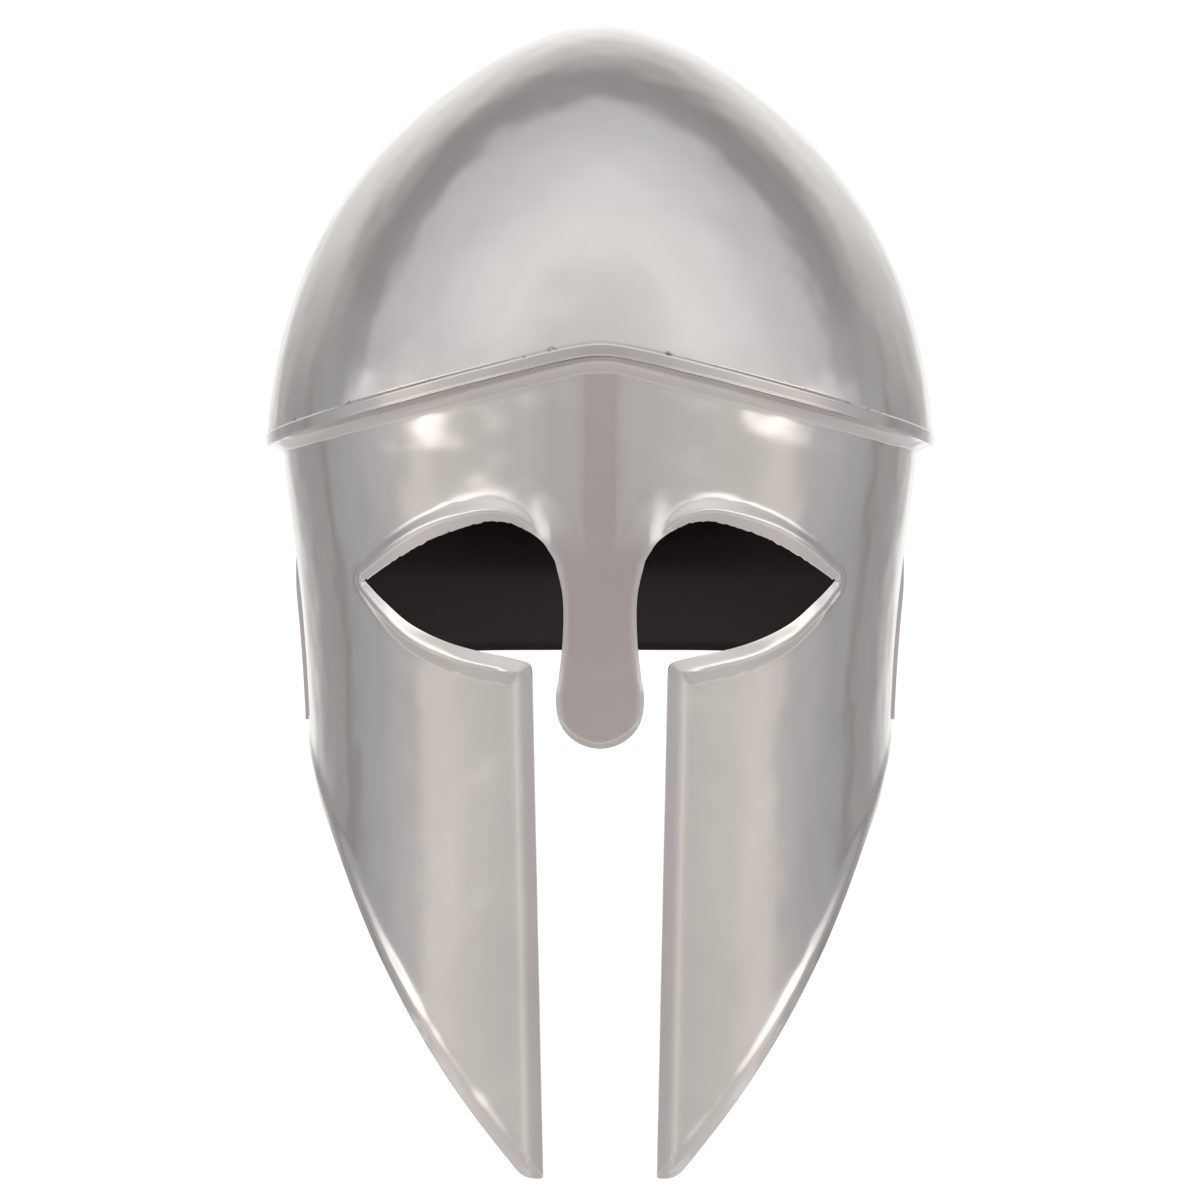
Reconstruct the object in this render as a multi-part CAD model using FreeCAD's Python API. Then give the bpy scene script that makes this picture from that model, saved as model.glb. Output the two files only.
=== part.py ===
"""A Corinthian style steel helmet: bowl, face plate and neck guard, with a leather liner.

All sizes are in millimetres. The origin is the centre of the head band's plane, +Z is up
and the face looks along -Y. Angles go round the helmet from the front, in degrees, so 0 is
the nose, 90 the wearer's left ear and 180 the nape.
"""
import FreeCAD, Part
import math
import os

Vector = FreeCAD.Vector

# Steel sheet
SHEET = 1.2
JOINT_GAP = 0.1                  # left between two pieces that are butted or stacked

# Bowl: a tall dome, a little pointed across and round along
CROWN_TOP = 137.0
BOWL_WAIST = -18.7               # height at which the dome's wall would stand upright
BOWL_HALF_WIDTH = 103.9
BOWL_FRONT = 128.6
BOWL_REAR = 126.0
BOWL_RISE_POWER = 2.67
CROWN_POWER_SIDE = 1.455
CROWN_POWER_FRONT = 2.1

# Lip: the line where the bowl stands on the out-turned flange of the lower plates
LIP_SIDE_HEIGHT = 8.0
LIP_PEAK = 24.6                  # rise of the peak over the nose, before it is rounded off
LIP_PEAK_ROUNDING = 0.07
LIP_REAR_DROP = 3.0
FLANGE_HEIGHT_SIDE = 2.9
FLANGE_HEIGHT_FRONT = 5.4
FLANGE_HEIGHT_REAR = 4.9

# Lower wall
WALL_TOP_HALF_WIDTH = 97.6
WALL_NARROWING = 9.3
WALL_NARROWING_LENGTH = 50.0
WALL_NARROWING_POWER = 1.3
WALL_TOP_HEIGHT = 3.0
WALL_FRONT = 119.5
WALL_REAR = 120.0
NAPE_HOLLOW = 11.0               # how far the back of the neck comes in under the bowl
NAPE_FLARE = 9.0                 # how far it turns out again at the bottom
SIDE_FLARE = 2.6                 # how far the neck guard's front edges stand out

# Where the lower wall is divided, and its lower edge as pairs of angle and height
PLATE_SPLIT_ANGLE = 96.0
CHEEK_TIP_HEIGHT = -210.0
LOWER_EDGE = [(13.5, -212), (30.2, -182), (47.2, -147.5), (63.9, -113.5), (76.7, -95.5), (90, -82),
              (104, -73), (140, -58), (180, -55.6)]

# Face opening, for the +X side
SLOT_HALF_WIDTH_TIP = 16.5
SLOT_HALF_WIDTH_TOP = 19.7
CHEEK_CORNER = (20.0, -60.5)
EYE_LOWER_RIM = [(21.5, -59.2), (42.1, -54.3), (55.1, -48.4), (63.9, -41.0)]
EYE_OUTER_CORNER = (69.8, -35.0)
EYE_UPPER_RIM = [(60.8, -29.2), (49.9, -23.4), (37.4, -19.2), (30.8, -18.1), (24.7, -19.3), (17.0, -23.9)]
EYE_INNER_CORNER = (13.0, -29.6)
NASAL_SIDE = [(10.8, -40.0), (10.7, -52.0), (11.8, -63.4), (12.7, -70.4)]
NASAL_END = [(11.2, -78.0), (6.6, -82.8)]
NASAL_TIP_HEIGHT = -84.6

# Leather head band and pads
BAND_TO_WALL = 1.5
BAND_THICKNESS = 2.0
BAND_BOTTOM = -12.0
BAND_TOP = 27.0
PAD_BOTTOM = -10.5
PAD_TOP = 15.0
PAD_THICKNESS = 10.0
PAD_EDGE_THICKNESS = 2.5
LINER_GAP = 0.3
PAD_ANGLES = {
    "brow_pad": (-34, 34),
    "temple_pad_left": (42, 98),
    "temple_pad_right": (-98, -42),
    "rear_pad_left": (114, 142),
    "rear_pad_right": (-142, -114),
    "nape_pad": (156, 204),
}

# Crown of the liner: eight tongues drawn together under a disc
TONGUE_COUNT = 8
TONGUE_BOTTOM = 17.5
TONGUE_SPRING = 22.0             # height at which the tongues begin to lean in
TONGUE_RISE = 66.0
TONGUE_THICKNESS = 1.8
TONGUE_TIP_LEAN = 75.0
TONGUE_TAPER = 0.25
CROWN_DISC_LEAN = 68.0           # the disc reaches down to this lean angle
CROWN_DISC_THICKNESS = 2.0

# Rivets through the neck guard and the head band
RIVET_ANGLES = (106, 149, -149, -106)
RIVET_HEIGHT = -5.0
RIVET_HEAD_RADIUS = 4.5
RIVET_HEAD_HEIGHT = 2.0
RIVET_SHANK_RADIUS = 1.7
RIVET_HOLE_RADIUS = 1.85
RIVET_TAIL_RADIUS = 2.8
RIVET_TAIL_HEIGHT = 1.3
WASHER_RADIUS = 4.5
WASHER_THICKNESS = 1.0

# Welds
RIM_BEAD = 1.5
SIDE_WELD_ANGLES = (94.6, 97.6)
SIDE_WELD_BOTTOM = -18.0
SIDE_WELD_TOP = 1.0
SIDE_WELD_THICKNESS = 0.9


# ---------------------------------------------------------------- shape of the helmet

def sin(angle):
    return math.sin(math.radians(angle))


def cos(angle):
    return math.cos(math.radians(angle))


def ease(value):
    """0 below 0, 1 above 1 and a smooth step between."""
    value = min(max(value, 0.0), 1.0)
    return value * value * (3.0 - 2.0 * value)


def lip_height(angle):
    side, front = abs(sin(angle)), cos(angle)
    if front < 0:
        side = 1.0
    height = LIP_SIDE_HEIGHT + LIP_PEAK * (1.0 - math.hypot(side, LIP_PEAK_ROUNDING))
    return height - LIP_REAR_DROP * min(front, 0.0) ** 2


def bowl_point(angle, height):
    """Point on the outer face of the bowl."""
    level = min((height - BOWL_WAIST) / (CROWN_TOP - BOWL_WAIST), 1.0)
    power = CROWN_POWER_FRONT + (CROWN_POWER_SIDE - CROWN_POWER_FRONT) * sin(angle) ** 2
    spread = (1.0 - level ** BOWL_RISE_POWER) ** (1.0 / power)
    length = BOWL_REAR + (BOWL_FRONT - BOWL_REAR) * (1.0 + cos(angle)) / 2.0
    return Vector(BOWL_HALF_WIDTH * spread * sin(angle), -length * spread * cos(angle), height)


def wall_half_width(height):
    drop = max(WALL_TOP_HEIGHT - height, 0.0) / WALL_NARROWING_LENGTH
    return WALL_TOP_HALF_WIDTH - WALL_NARROWING * (1.0 - math.exp(-drop ** WALL_NARROWING_POWER))


def wall_half_length(angle, height):
    rear = WALL_REAR - NAPE_HOLLOW * ease((4.0 - height) / 36.0)
    rear += NAPE_FLARE * ease((-28.0 - height) / 30.0)
    turn = ease((math.degrees(math.acos(cos(angle))) - 60.0) / 60.0)
    return WALL_FRONT + (rear - WALL_FRONT) * turn


def wall_point(angle, height, inward=0.0):
    """Point on the outer face of the lower wall, or inward millimetres inside it."""
    half_width = wall_half_width(height) - inward
    half_length = wall_half_length(angle, height) - inward
    return Vector(half_width * sin(angle), -half_length * cos(angle), height)


def lower_edge_height(angle):
    """Height of the lower edge, by a smooth curve through LOWER_EDGE."""
    angle = math.degrees(math.acos(cos(angle)))
    points = LOWER_EDGE
    index = 0
    while index < len(points) - 2 and angle > points[index + 1][0]:
        index += 1

    def slope(at):
        before, after = points[max(at - 1, 0)], points[min(at + 1, len(points) - 1)]
        return (after[1] - before[1]) / (after[0] - before[0])

    (angle_a, height_a), (angle_b, height_b) = points[index], points[index + 1]
    span = angle_b - angle_a
    t = (angle - angle_a) / span
    start = (1 + 2 * t) * (1 - t) ** 2 * height_a + t * (1 - t) ** 2 * span * slope(index)
    return start + t * t * (3 - 2 * t) * height_b + t * t * (t - 1) * span * slope(index + 1)


def flange_height(angle):
    front, rear = max(cos(angle), 0.0), max(-cos(angle), 0.0)
    height = FLANGE_HEIGHT_SIDE + (FLANGE_HEIGHT_FRONT - FLANGE_HEIGHT_SIDE) * front
    return height + (FLANGE_HEIGHT_REAR - FLANGE_HEIGHT_SIDE) * rear


def flange_point(angle, turn):
    """Point on the hollow out-turned flange: turn 0 is its foot, 90 its outer edge."""
    top = lip_height(angle) - SHEET
    foot = top - flange_height(angle)
    height = foot + (top - foot) * sin(turn)
    wall = wall_point(angle, height)
    lip = bowl_point(angle, top)
    outward = 1.0 - cos(turn)
    return Vector(wall.x + (lip.x - wall.x) * outward, wall.y + (lip.y - wall.y) * outward, height)


# ---------------------------------------------------------------- solids from grids of points

def surface(grid):
    patch = Part.BSplineSurface()
    patch.interpolate(grid)
    return patch


def rim(patch, side):
    """Edge of a patch along one side of its grid: first, last, bottom or top."""
    first_u, last_u, first_v, last_v = patch.bounds()
    curves = {"first": (patch.uIso, first_u), "last": (patch.uIso, last_u),
              "bottom": (patch.vIso, first_v), "top": (patch.vIso, last_v)}
    iso, at = curves[side]
    return iso(at).toShape()


def solid_between(outer_grid, inner_grid, sides):
    """Solid between two grids, closed by ruled faces along the named sides."""
    outer, inner = surface(outer_grid), surface(inner_grid)
    faces = [outer.toShape(), inner.toShape()]
    for side in sides:
        faces.append(Part.makeRuledSurface(rim(outer, side), rim(inner, side)))
    shell = Part.Shell(faces)
    shell.sewShape()
    solid = Part.Solid(shell)
    if solid.Volume < 0:
        solid.reverse()
    return solid


def grid_of(point, columns, rows):
    return [[point(column, row) for row in rows] for column in columns]


def offset_grid(point, columns, rows, thickness, step=0.01):
    """The grid moved by thickness against the outward normal of point(column, row)."""
    def moved(column, row):
        low, high = max(row - step, rows[0]), min(row + step, rows[-1])
        across = point(column + step, row) - point(column - step, row)
        up = point(column, high) - point(column, low)
        normal = across.cross(up)
        normal.normalize()
        return point(column, row) - normal * thickness
    return grid_of(moved, columns, rows)


def spaced(first, last, count):
    return [first + (last - first) * index / (count - 1) for index in range(count)]


def steadied(values, share=0.1):
    """The values with one more close to each end, which keeps a patch from swinging out there."""
    start = values[0] + (values[1] - values[0]) * share
    end = values[-1] + (values[-2] - values[-1]) * share
    return [values[0], start] + values[1:-1] + [end, values[-1]]


def angles_from_front(last_angle, count, crowding=1.5):
    """Angles on both sides of the nose, closer together near it."""
    half = [last_angle * (index / count) ** crowding for index in range(count + 1)]
    return steadied([-angle for angle in reversed(half[1:])] + half)


# ---------------------------------------------------------------- steel shells

def skull_bowl():
    columns = angles_from_front(180.0, 18)
    rows = steadied(spaced(0.0, 1.0, 20))

    def point(angle, climb):
        foot = lip_height(angle) + JOINT_GAP
        return bowl_point(angle, foot + (CROWN_TOP - foot) * sin(90.0 * climb))

    outer = grid_of(point, columns, rows)
    inner = offset_grid(point, columns, rows[:-1], SHEET)
    for column in inner:
        column.append(Vector(0, 0, CROWN_TOP - SHEET))
    return solid_between(outer, inner, ["bottom"])


def lower_shell(columns, bottom, flare):
    """A part of the lower wall with its flange, from bottom(angle) up to the lip."""
    def point(angle, climb):
        if climb > 1.0:
            return flange_point(angle, 90.0 * (climb - 1.0))
        foot = lip_height(angle) - SHEET - flange_height(angle)
        low = bottom(angle)
        height = low + (foot - low) * climb
        outward = flare * ease((-12.0 - height) / 28.0)
        return wall_point(angle, height, -outward)

    rows = [1.0 - (1.0 - share) ** 1.7 for share in spaced(0.0, 1.0, 14)]
    rows = steadied(rows + [1.25, 1.5, 1.75, 2.0])
    outer = grid_of(point, columns, rows)
    inner = offset_grid(point, columns, rows, SHEET)
    return solid_between(outer, inner, ["first", "last", "bottom", "top"])


def smooth_edge(points):
    curve = Part.BSplineCurve()
    curve.interpolate([Vector(x, 0, z) for x, z in points])
    return curve.toShape()


def straight_edge(start, end):
    return Part.makeLine(Vector(start[0], 0, start[1]), Vector(end[0], 0, end[1]))


def nasal_edge():
    """The nose guard's edge, from one inner eye corner down round its tip to the other."""
    side = [EYE_INNER_CORNER] + NASAL_SIDE + NASAL_END
    return smooth_edge(side + [(0.0, NASAL_TIP_HEIGHT)] + [(-x, z) for x, z in reversed(side)])


def half_face_outline(side):
    """Edges of the face opening on one side, from the inner eye corner round to the chin."""
    def placed(points):
        return [(side * x, z) for x, z in points]

    upper = placed([EYE_OUTER_CORNER] + EYE_UPPER_RIM + [EYE_INNER_CORNER])
    lower = placed([CHEEK_CORNER] + EYE_LOWER_RIM + [EYE_OUTER_CORNER])
    slot = placed([CHEEK_CORNER, (SLOT_HALF_WIDTH_TOP, CHEEK_CORNER[1] - 2.5),
                   (SLOT_HALF_WIDTH_TIP, CHEEK_TIP_HEIGHT), (SLOT_HALF_WIDTH_TIP, CHEEK_TIP_HEIGHT - 20)])
    edges = [smooth_edge(upper), smooth_edge(lower)]
    edges += [straight_edge(a, b) for a, b in zip(slot, slot[1:])]
    return edges


def face_opening_cutter():
    chin_left = (SLOT_HALF_WIDTH_TIP, CHEEK_TIP_HEIGHT - 20)
    chin_right = (-SLOT_HALF_WIDTH_TIP, CHEEK_TIP_HEIGHT - 20)
    edges = half_face_outline(1) + half_face_outline(-1)
    edges += [nasal_edge(), straight_edge(chin_left, chin_right)]
    outline = Part.Wire(Part.__sortEdges__(edges))
    face = Part.Face(outline)
    face.translate(Vector(0, -150, 0))
    return face.extrude(Vector(0, 100, 0))


def below_cheek_edge(side):
    """Everything below the lower edge of one cheek guard."""
    angles = spaced(LOWER_EDGE[0][0], PLATE_SPLIT_ANGLE + 3, 16)

    def ring(scale):
        points = []
        for angle in angles:
            height = lower_edge_height(angle)
            on_wall = wall_point(side * angle, height)
            points.append(Vector(on_wall.x * scale, on_wall.y * scale, height))
        curve = Part.BSplineCurve()
        curve.interpolate(points)
        return curve.toShape()

    return Part.makeRuledSurface(ring(0.7), ring(1.2)).extrude(Vector(0, 0, -240))


def face_plate():
    columns = angles_from_front(PLATE_SPLIT_ANGLE, 12, 1.4)
    plate = lower_shell(columns, lambda angle: CHEEK_TIP_HEIGHT, 0.0)
    plate = plate.cut(face_opening_cutter())
    for side in (1, -1):
        plate = plate.cut(below_cheek_edge(side))
    return plate


def neck_guard():
    first = PLATE_SPLIT_ANGLE + 0.2
    columns = steadied(spaced(first, 360 - first, 25))
    guard = lower_shell(columns, lower_edge_height, SIDE_FLARE)
    return guard.cut(rivet_holes())


# ---------------------------------------------------------------- welds

def rim_weld():
    """Fillet bead inside the lip, between the bowl and the flange."""
    columns = angles_from_front(180.0, 18)

    def ring(angle, rise, inward):
        height = lip_height(angle) + JOINT_GAP + rise
        on_bowl = bowl_point(angle, height)
        outward = Vector(sin(angle), -cos(angle), 0)
        return on_bowl - outward * (SHEET + JOINT_GAP + inward)

    rows = spaced(0.0, RIM_BEAD, 3)
    outer = grid_of(lambda angle, rise: ring(angle, rise, 0.0), columns, rows)
    inner = grid_of(lambda angle, rise: ring(angle, rise, 0.3 + RIM_BEAD - rise), columns, rows)
    return solid_between(outer, inner, ["bottom", "top"])


def side_welds():
    """Two beads inside the helmet, where the face plate meets the neck guard."""
    def bead(side):
        columns = [side * angle for angle in spaced(*SIDE_WELD_ANGLES, 3)]
        rows = spaced(SIDE_WELD_BOTTOM, SIDE_WELD_TOP, 4)
        near = SHEET + 2 * JOINT_GAP
        outer = grid_of(lambda angle, height: wall_point(angle, height, near), columns, rows)
        far = near + SIDE_WELD_THICKNESS
        inner = grid_of(lambda angle, height: wall_point(angle, height, far), columns, rows)
        return solid_between(outer, inner, ["first", "last", "bottom", "top"])
    return Part.makeCompound([bead(1), bead(-1)])


# ---------------------------------------------------------------- liner

def liner_point(angle, height, inward):
    """Point inward millimetres inside the head band's outer face."""
    steady = wall_point(angle, min(height, WALL_TOP_HEIGHT), SHEET + BAND_TO_WALL + inward)
    return Vector(steady.x, steady.y, height)


def liner_band():
    columns = angles_from_front(180.0, 18)
    rows = spaced(BAND_BOTTOM, BAND_TOP, 6)
    outer = grid_of(lambda angle, height: liner_point(angle, height, 0.0), columns, rows)
    inner = grid_of(lambda angle, height: liner_point(angle, height, BAND_THICKNESS), columns, rows)
    return solid_between(outer, inner, ["bottom", "top"]).cut(rivet_holes())


def liner_pad(first_angle, last_angle):
    columns = spaced(first_angle, last_angle, 9)
    rows = spaced(PAD_BOTTOM, PAD_TOP, 7)
    back = BAND_THICKNESS + LINER_GAP

    def swell(angle, height):
        across = 2.0 * (angle - first_angle) / (last_angle - first_angle) - 1.0
        up = 2.0 * (height - PAD_BOTTOM) / (PAD_TOP - PAD_BOTTOM) - 1.0
        crown = (1.0 - across ** 4) * (1.0 - up ** 4)
        return PAD_EDGE_THICKNESS + (PAD_THICKNESS - PAD_EDGE_THICKNESS) * crown

    outer = grid_of(lambda angle, height: liner_point(angle, height, back), columns, rows)
    inner = grid_of(lambda angle, height: liner_point(angle, height, back + swell(angle, height)),
                    columns, rows)
    return solid_between(outer, inner, ["first", "last", "bottom", "top"])


def crown_point(angle, lean, outward=0.0):
    """Point on the liner's crown: lean 0 is where the tongues spring, 90 the top."""
    inside = BAND_THICKNESS + LINER_GAP - outward
    spring = liner_point(angle, TONGUE_SPRING, inside)
    rise = (TONGUE_RISE + outward) * sin(lean)
    return Vector(spring.x * cos(lean), spring.y * cos(lean), TONGUE_SPRING + rise)


def liner_tongue(index):
    pitch = 360.0 / TONGUE_COUNT
    middle = pitch * (index - 0.5)

    def point(across, lean):
        half_angle = (pitch / 2.0 - 0.8) * (1.0 - TONGUE_TAPER * max(lean, 0.0) / TONGUE_TIP_LEAN)
        angle = middle + half_angle * across
        if lean < 0:
            upright = crown_point(angle, 0.0)
            return Vector(upright.x, upright.y, TONGUE_BOTTOM)
        return crown_point(angle, lean)

    columns = spaced(-1.0, 1.0, 5)
    rows = [-1.0] + spaced(0.0, TONGUE_TIP_LEAN, 8)
    outer = grid_of(point, columns, rows)
    inner = []
    for across in columns:
        column = []
        for lean in rows:
            outside = point(across, lean)
            inward = Vector(outside.x, outside.y, 0)
            inward.normalize()
            tilt = max(lean, 0.0)
            column.append(outside - (inward * cos(tilt) + Vector(0, 0, sin(tilt))) * TONGUE_THICKNESS)
        inner.append(column)
    return solid_between(outer, inner, ["first", "last", "bottom", "top"])


def crown_disc():
    columns = angles_from_front(180.0, 18)
    rows = steadied(spaced(CROWN_DISC_LEAN, 90.0, 6))
    over = LINER_GAP + CROWN_DISC_THICKNESS
    outer = grid_of(lambda angle, lean: crown_point(angle, lean, over), columns, rows)
    inner = grid_of(lambda angle, lean: crown_point(angle, lean, LINER_GAP), columns, rows)
    return solid_between(outer, inner, ["bottom"])


# ---------------------------------------------------------------- rivets

def rivet_axis(angle):
    """Where a rivet's head sits on the neck guard, and the direction that it faces."""
    seat = wall_point(angle, RIVET_HEIGHT)
    across = wall_point(angle + 0.5, RIVET_HEIGHT) - wall_point(angle - 0.5, RIVET_HEIGHT)
    up = wall_point(angle, RIVET_HEIGHT + 0.5) - wall_point(angle, RIVET_HEIGHT - 0.5)
    outward = across.cross(up)
    outward.normalize()
    return seat, outward


def rivet_holes():
    holes = []
    for angle in RIVET_ANGLES:
        seat, outward = rivet_axis(angle)
        holes.append(Part.makeCylinder(RIVET_HOLE_RADIUS, 20, seat + outward * 5, outward * -1))
    return Part.makeCompound(holes)


def washer_depth():
    """From the neck guard's outer face to the washer's outer face."""
    return SHEET + BAND_TO_WALL + BAND_THICKNESS + LINER_GAP


def rivet(angle):
    seat, outward = rivet_axis(angle)
    shank_length = washer_depth() + WASHER_THICKNESS + JOINT_GAP
    ball_radius = (RIVET_HEAD_RADIUS ** 2 + RIVET_HEAD_HEIGHT ** 2) / (2 * RIVET_HEAD_HEIGHT)
    lift = 0.15
    base = seat + outward * lift
    ball = Part.makeSphere(ball_radius, base - outward * (ball_radius - RIVET_HEAD_HEIGHT))
    slab = Part.makeCylinder(RIVET_HEAD_RADIUS + 1, RIVET_HEAD_HEIGHT + 1, base, outward)
    shank = Part.makeCylinder(RIVET_SHANK_RADIUS, shank_length + lift + 0.5, seat - outward * shank_length,
                              outward)
    tail = Part.makeCone(RIVET_TAIL_RADIUS, RIVET_SHANK_RADIUS * 0.8, RIVET_TAIL_HEIGHT,
                         seat - outward * shank_length, outward * -1)
    return ball.common(slab).fuse([shank, tail])


def liner_rivets():
    return Part.makeCompound([rivet(angle) for angle in RIVET_ANGLES])


def rivet_washers():
    washers = []
    for angle in RIVET_ANGLES:
        seat, outward = rivet_axis(angle)
        face = seat - outward * washer_depth()
        disc = Part.makeCylinder(WASHER_RADIUS, WASHER_THICKNESS, face, outward * -1)
        hole = Part.makeCylinder(RIVET_HOLE_RADIUS, WASHER_THICKNESS + 2, face + outward, outward * -1)
        washers.append(disc.cut(hole))
    return Part.makeCompound(washers)


# ---------------------------------------------------------------- write every piece

def pieces():
    made = {
        "skull_bowl": skull_bowl(),
        "face_plate": face_plate(),
        "neck_guard": neck_guard(),
        "rim_weld": rim_weld(),
        "side_welds": side_welds(),
        "liner_band": liner_band(),
        "crown_disc": crown_disc(),
        "liner_rivets": liner_rivets(),
        "rivet_washers": rivet_washers(),
    }
    for name, (first_angle, last_angle) in PAD_ANGLES.items():
        made[name] = liner_pad(first_angle, last_angle)
    for index in range(1, TONGUE_COUNT + 1):
        made["liner_tongue_%d" % index] = liner_tongue(index)
    return made


os.makedirs("parts", exist_ok=True)
for piece_name, shape in pieces().items():
    shape.exportStep("parts/%s.step" % piece_name)
    print("%-18s valid %s solids %d volume %.0f" % (piece_name, shape.isValid(), len(shape.Solids), shape.Volume))
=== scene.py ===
"""The looks of a Corinthian style steel helmet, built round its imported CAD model.

Shapes are worked out in millimetres and turned into metres when a mesh is made. Angles go
round the helmet from the nose, in degrees: 90 is the wearer's left ear and 180 the nape.
"""
import math

import bpy
import numpy as np
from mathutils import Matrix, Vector


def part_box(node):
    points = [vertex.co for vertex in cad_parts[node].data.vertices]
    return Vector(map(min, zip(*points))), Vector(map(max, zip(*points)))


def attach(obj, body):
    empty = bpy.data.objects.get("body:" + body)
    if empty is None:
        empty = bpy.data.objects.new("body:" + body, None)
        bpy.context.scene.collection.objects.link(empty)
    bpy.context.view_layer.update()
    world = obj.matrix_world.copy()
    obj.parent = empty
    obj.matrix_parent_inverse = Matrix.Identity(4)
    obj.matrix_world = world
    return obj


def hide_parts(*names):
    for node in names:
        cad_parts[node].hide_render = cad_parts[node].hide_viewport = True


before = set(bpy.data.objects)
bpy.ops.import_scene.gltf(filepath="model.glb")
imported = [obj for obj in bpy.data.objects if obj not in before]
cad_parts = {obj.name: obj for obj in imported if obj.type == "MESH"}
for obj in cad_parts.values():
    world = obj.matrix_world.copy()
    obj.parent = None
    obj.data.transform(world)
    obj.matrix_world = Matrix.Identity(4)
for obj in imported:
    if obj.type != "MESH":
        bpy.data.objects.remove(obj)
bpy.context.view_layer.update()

MM = 0.001

# ---------------------------------------------------------------- the helmet's sizes, in millimetres

SHEET = 1.2
CROWN_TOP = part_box("skull_bowl")[1].z / MM
BOWL_WAIST = -18.7
BOWL_HALF_WIDTH = 103.9
BOWL_FRONT = 128.6
BOWL_REAR = 126.0
BOWL_RISE_POWER = 2.67
CROWN_POWER_SIDE = 1.455
CROWN_POWER_FRONT = 2.1

LIP_SIDE_HEIGHT = 8.0
LIP_PEAK = 24.6
LIP_PEAK_ROUNDING = 0.07
LIP_REAR_DROP = 3.0
LIP_BEAD = 0.4
LIP_BEAD_CREST = 2.0
LIP_BEAD_ABOVE = 0.8
LIP_BEAD_BELOW = 2.6
LIP_BEAD_POWER = 0.75
SEAM_HEIGHT = 2.8
SEAM_DEPTH = 0.05
SEAM_HALF_WIDTH = 0.25
FAR_FROM_SEAM = 99.0
FLANGE_INSET = 0.45
FLANGE_HEIGHT_SIDE = 2.9
FLANGE_HEIGHT_FRONT = 5.4
FLANGE_HEIGHT_REAR = 4.9

WALL_TOP_HALF_WIDTH = 97.6
WALL_NARROWING = 9.3
WALL_NARROWING_LENGTH = 50.0
WALL_NARROWING_POWER = 1.3
WALL_TOP_HEIGHT = 3.0
WALL_FRONT = 119.5
WALL_REAR = 120.0
NAPE_HOLLOW = 11.0
NAPE_HOLLOW_TOP = 4.0
NAPE_HOLLOW_DROP = 36.0
NAPE_FLARE = 9.0
NAPE_FLARE_TOP = -28.0
NAPE_FLARE_DROP = 30.0
REAR_SHAPE_STARTS = 60.0
REAR_SHAPE_WHOLE = 120.0
SIDE_FLARE = 2.6
SIDE_FLARE_TOP = -12.0
SIDE_FLARE_DROP = 28.0

PLATE_SPLIT_ANGLE = 96.0
CHEEK_TIP_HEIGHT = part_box("face_plate")[0].z / MM
LOWER_EDGE = [(13.5, -212), (30.2, -182), (47.2, -147.5), (63.9, -113.5), (76.7, -95.5), (90, -82),
              (104, -73), (140, -58), (180, -55.6)]

SLOT_HALF_WIDTH_TIP = 16.5
SLOT_HALF_WIDTH_TOP = 19.7
CHEEK_CORNER = (20.0, -60.5)
SLOT_BELOW_CORNER = 2.5
INNER_TIP_ROUNDING = 1.0
OUTER_TIP_ROUNDING = 3.4
OUTER_TIP_START = 3.2
EYE_LOWER_RIM = [(21.5, -59.2), (42.1, -54.3), (55.1, -48.4), (63.9, -41.0)]
EYE_OUTER_CORNER = (69.8, -35.0)
EYE_UPPER_RIM = [(60.8, -29.2), (49.9, -23.4), (37.4, -19.2), (30.8, -18.1), (24.7, -19.3),
                 (17.0, -23.9)]
EYE_INNER_CORNER = (13.0, -29.6)
NASAL_SIDE = [(10.8, -40.0), (10.7, -52.0), (11.8, -63.4), (12.7, -70.4)]
NASAL_END = [(11.2, -78.0), (6.6, -82.8)]
NASAL_TIP_HEIGHT = -84.6

# Raised rims of the sheets: how high they are, how far their crest lies from the edge and how far
# they fall beyond it. The lists say it at distances from the nose line, or at heights.
EYE_RIM_HEIGHT = [(13, 0.4), (20, 0.7), (26, 1.1), (33, 1.4), (60, 1.45), (70, 1.2)]
EYE_RIM_REACH = [(13, 1.3), (20, 1.8), (26, 2.8), (32, 3.5), (45, 4.2), (60, 3.9), (70, 2.6)]
EYE_RIM_FALL = [(13, 1.5), (22, 2.0), (32, 2.6), (60, 2.9), (70, 2.0)]
LOWER_RIM_HEIGHT = 1.4
LOWER_RIM_REACH = [(19, 4.3), (45, 4.5), (60, 4.0), (70, 2.6)]
LOWER_RIM_FALL = 2.6
RIM_SOFTENING = 4.0
NASAL_RIM = (0.0, 1.3, 1.5)
SLOT_RIM = (1.1, 4.1, 1.8)
CHEEK_RIM_HEIGHT = [(-206, 0.45), (-185, 0.55), (-165, 0.95), (-140, 1.0), (-80, 0.8)]
CHEEK_RIM_REACH = 3.4
CHEEK_RIM_FALL = 3.0
REAR_RIM = (0.45, 2.2, 1.6)
NECK_RIM = (0.8, 3.0, 2.2)
NECK_GAP_ANGLE = 0.15
NECK_RIM_END_FADE = 30.0
NECK_RIM_TOP_FADE = 3.0
RIM_AT_EDGE = 0.25
RIM_CREST_LIMIT = 1.1
RIM_CREST_SOFTNESS = 0.6
RIM_FOOT_SOFTNESS = 0.5
BARE_EDGE = 5.0
NASAL_ROUNDING = 0.4
NASAL_ROUNDING_WIDTH = 1.9
NOSE_RIDGE_HALF_WIDTH = 4.6
NOSE_RIDGE_HEIGHT = 0.35
NOSE_RIDGE_SLOPE = 9.0
NOSE_RISE_BLEND = 0.15
NOSE_GUARD_HALF_WIDTH = 9.5
NOSE_GUARD_FADE = 15.0
NOSE_GUARD_TOP = -45.0
NOSE_GUARD_REACH = 14.5
NOSE_FLAT_HALF_WIDTH = 14.0
NOSE_WALL_RADIUS = 71.0
BROW_LINE_LOW = -20.5
BROW_LINE_RISE = 6.0
BROW_LINE_LENGTH = 15.0
BROW_SLOPE = 20.0
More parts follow.
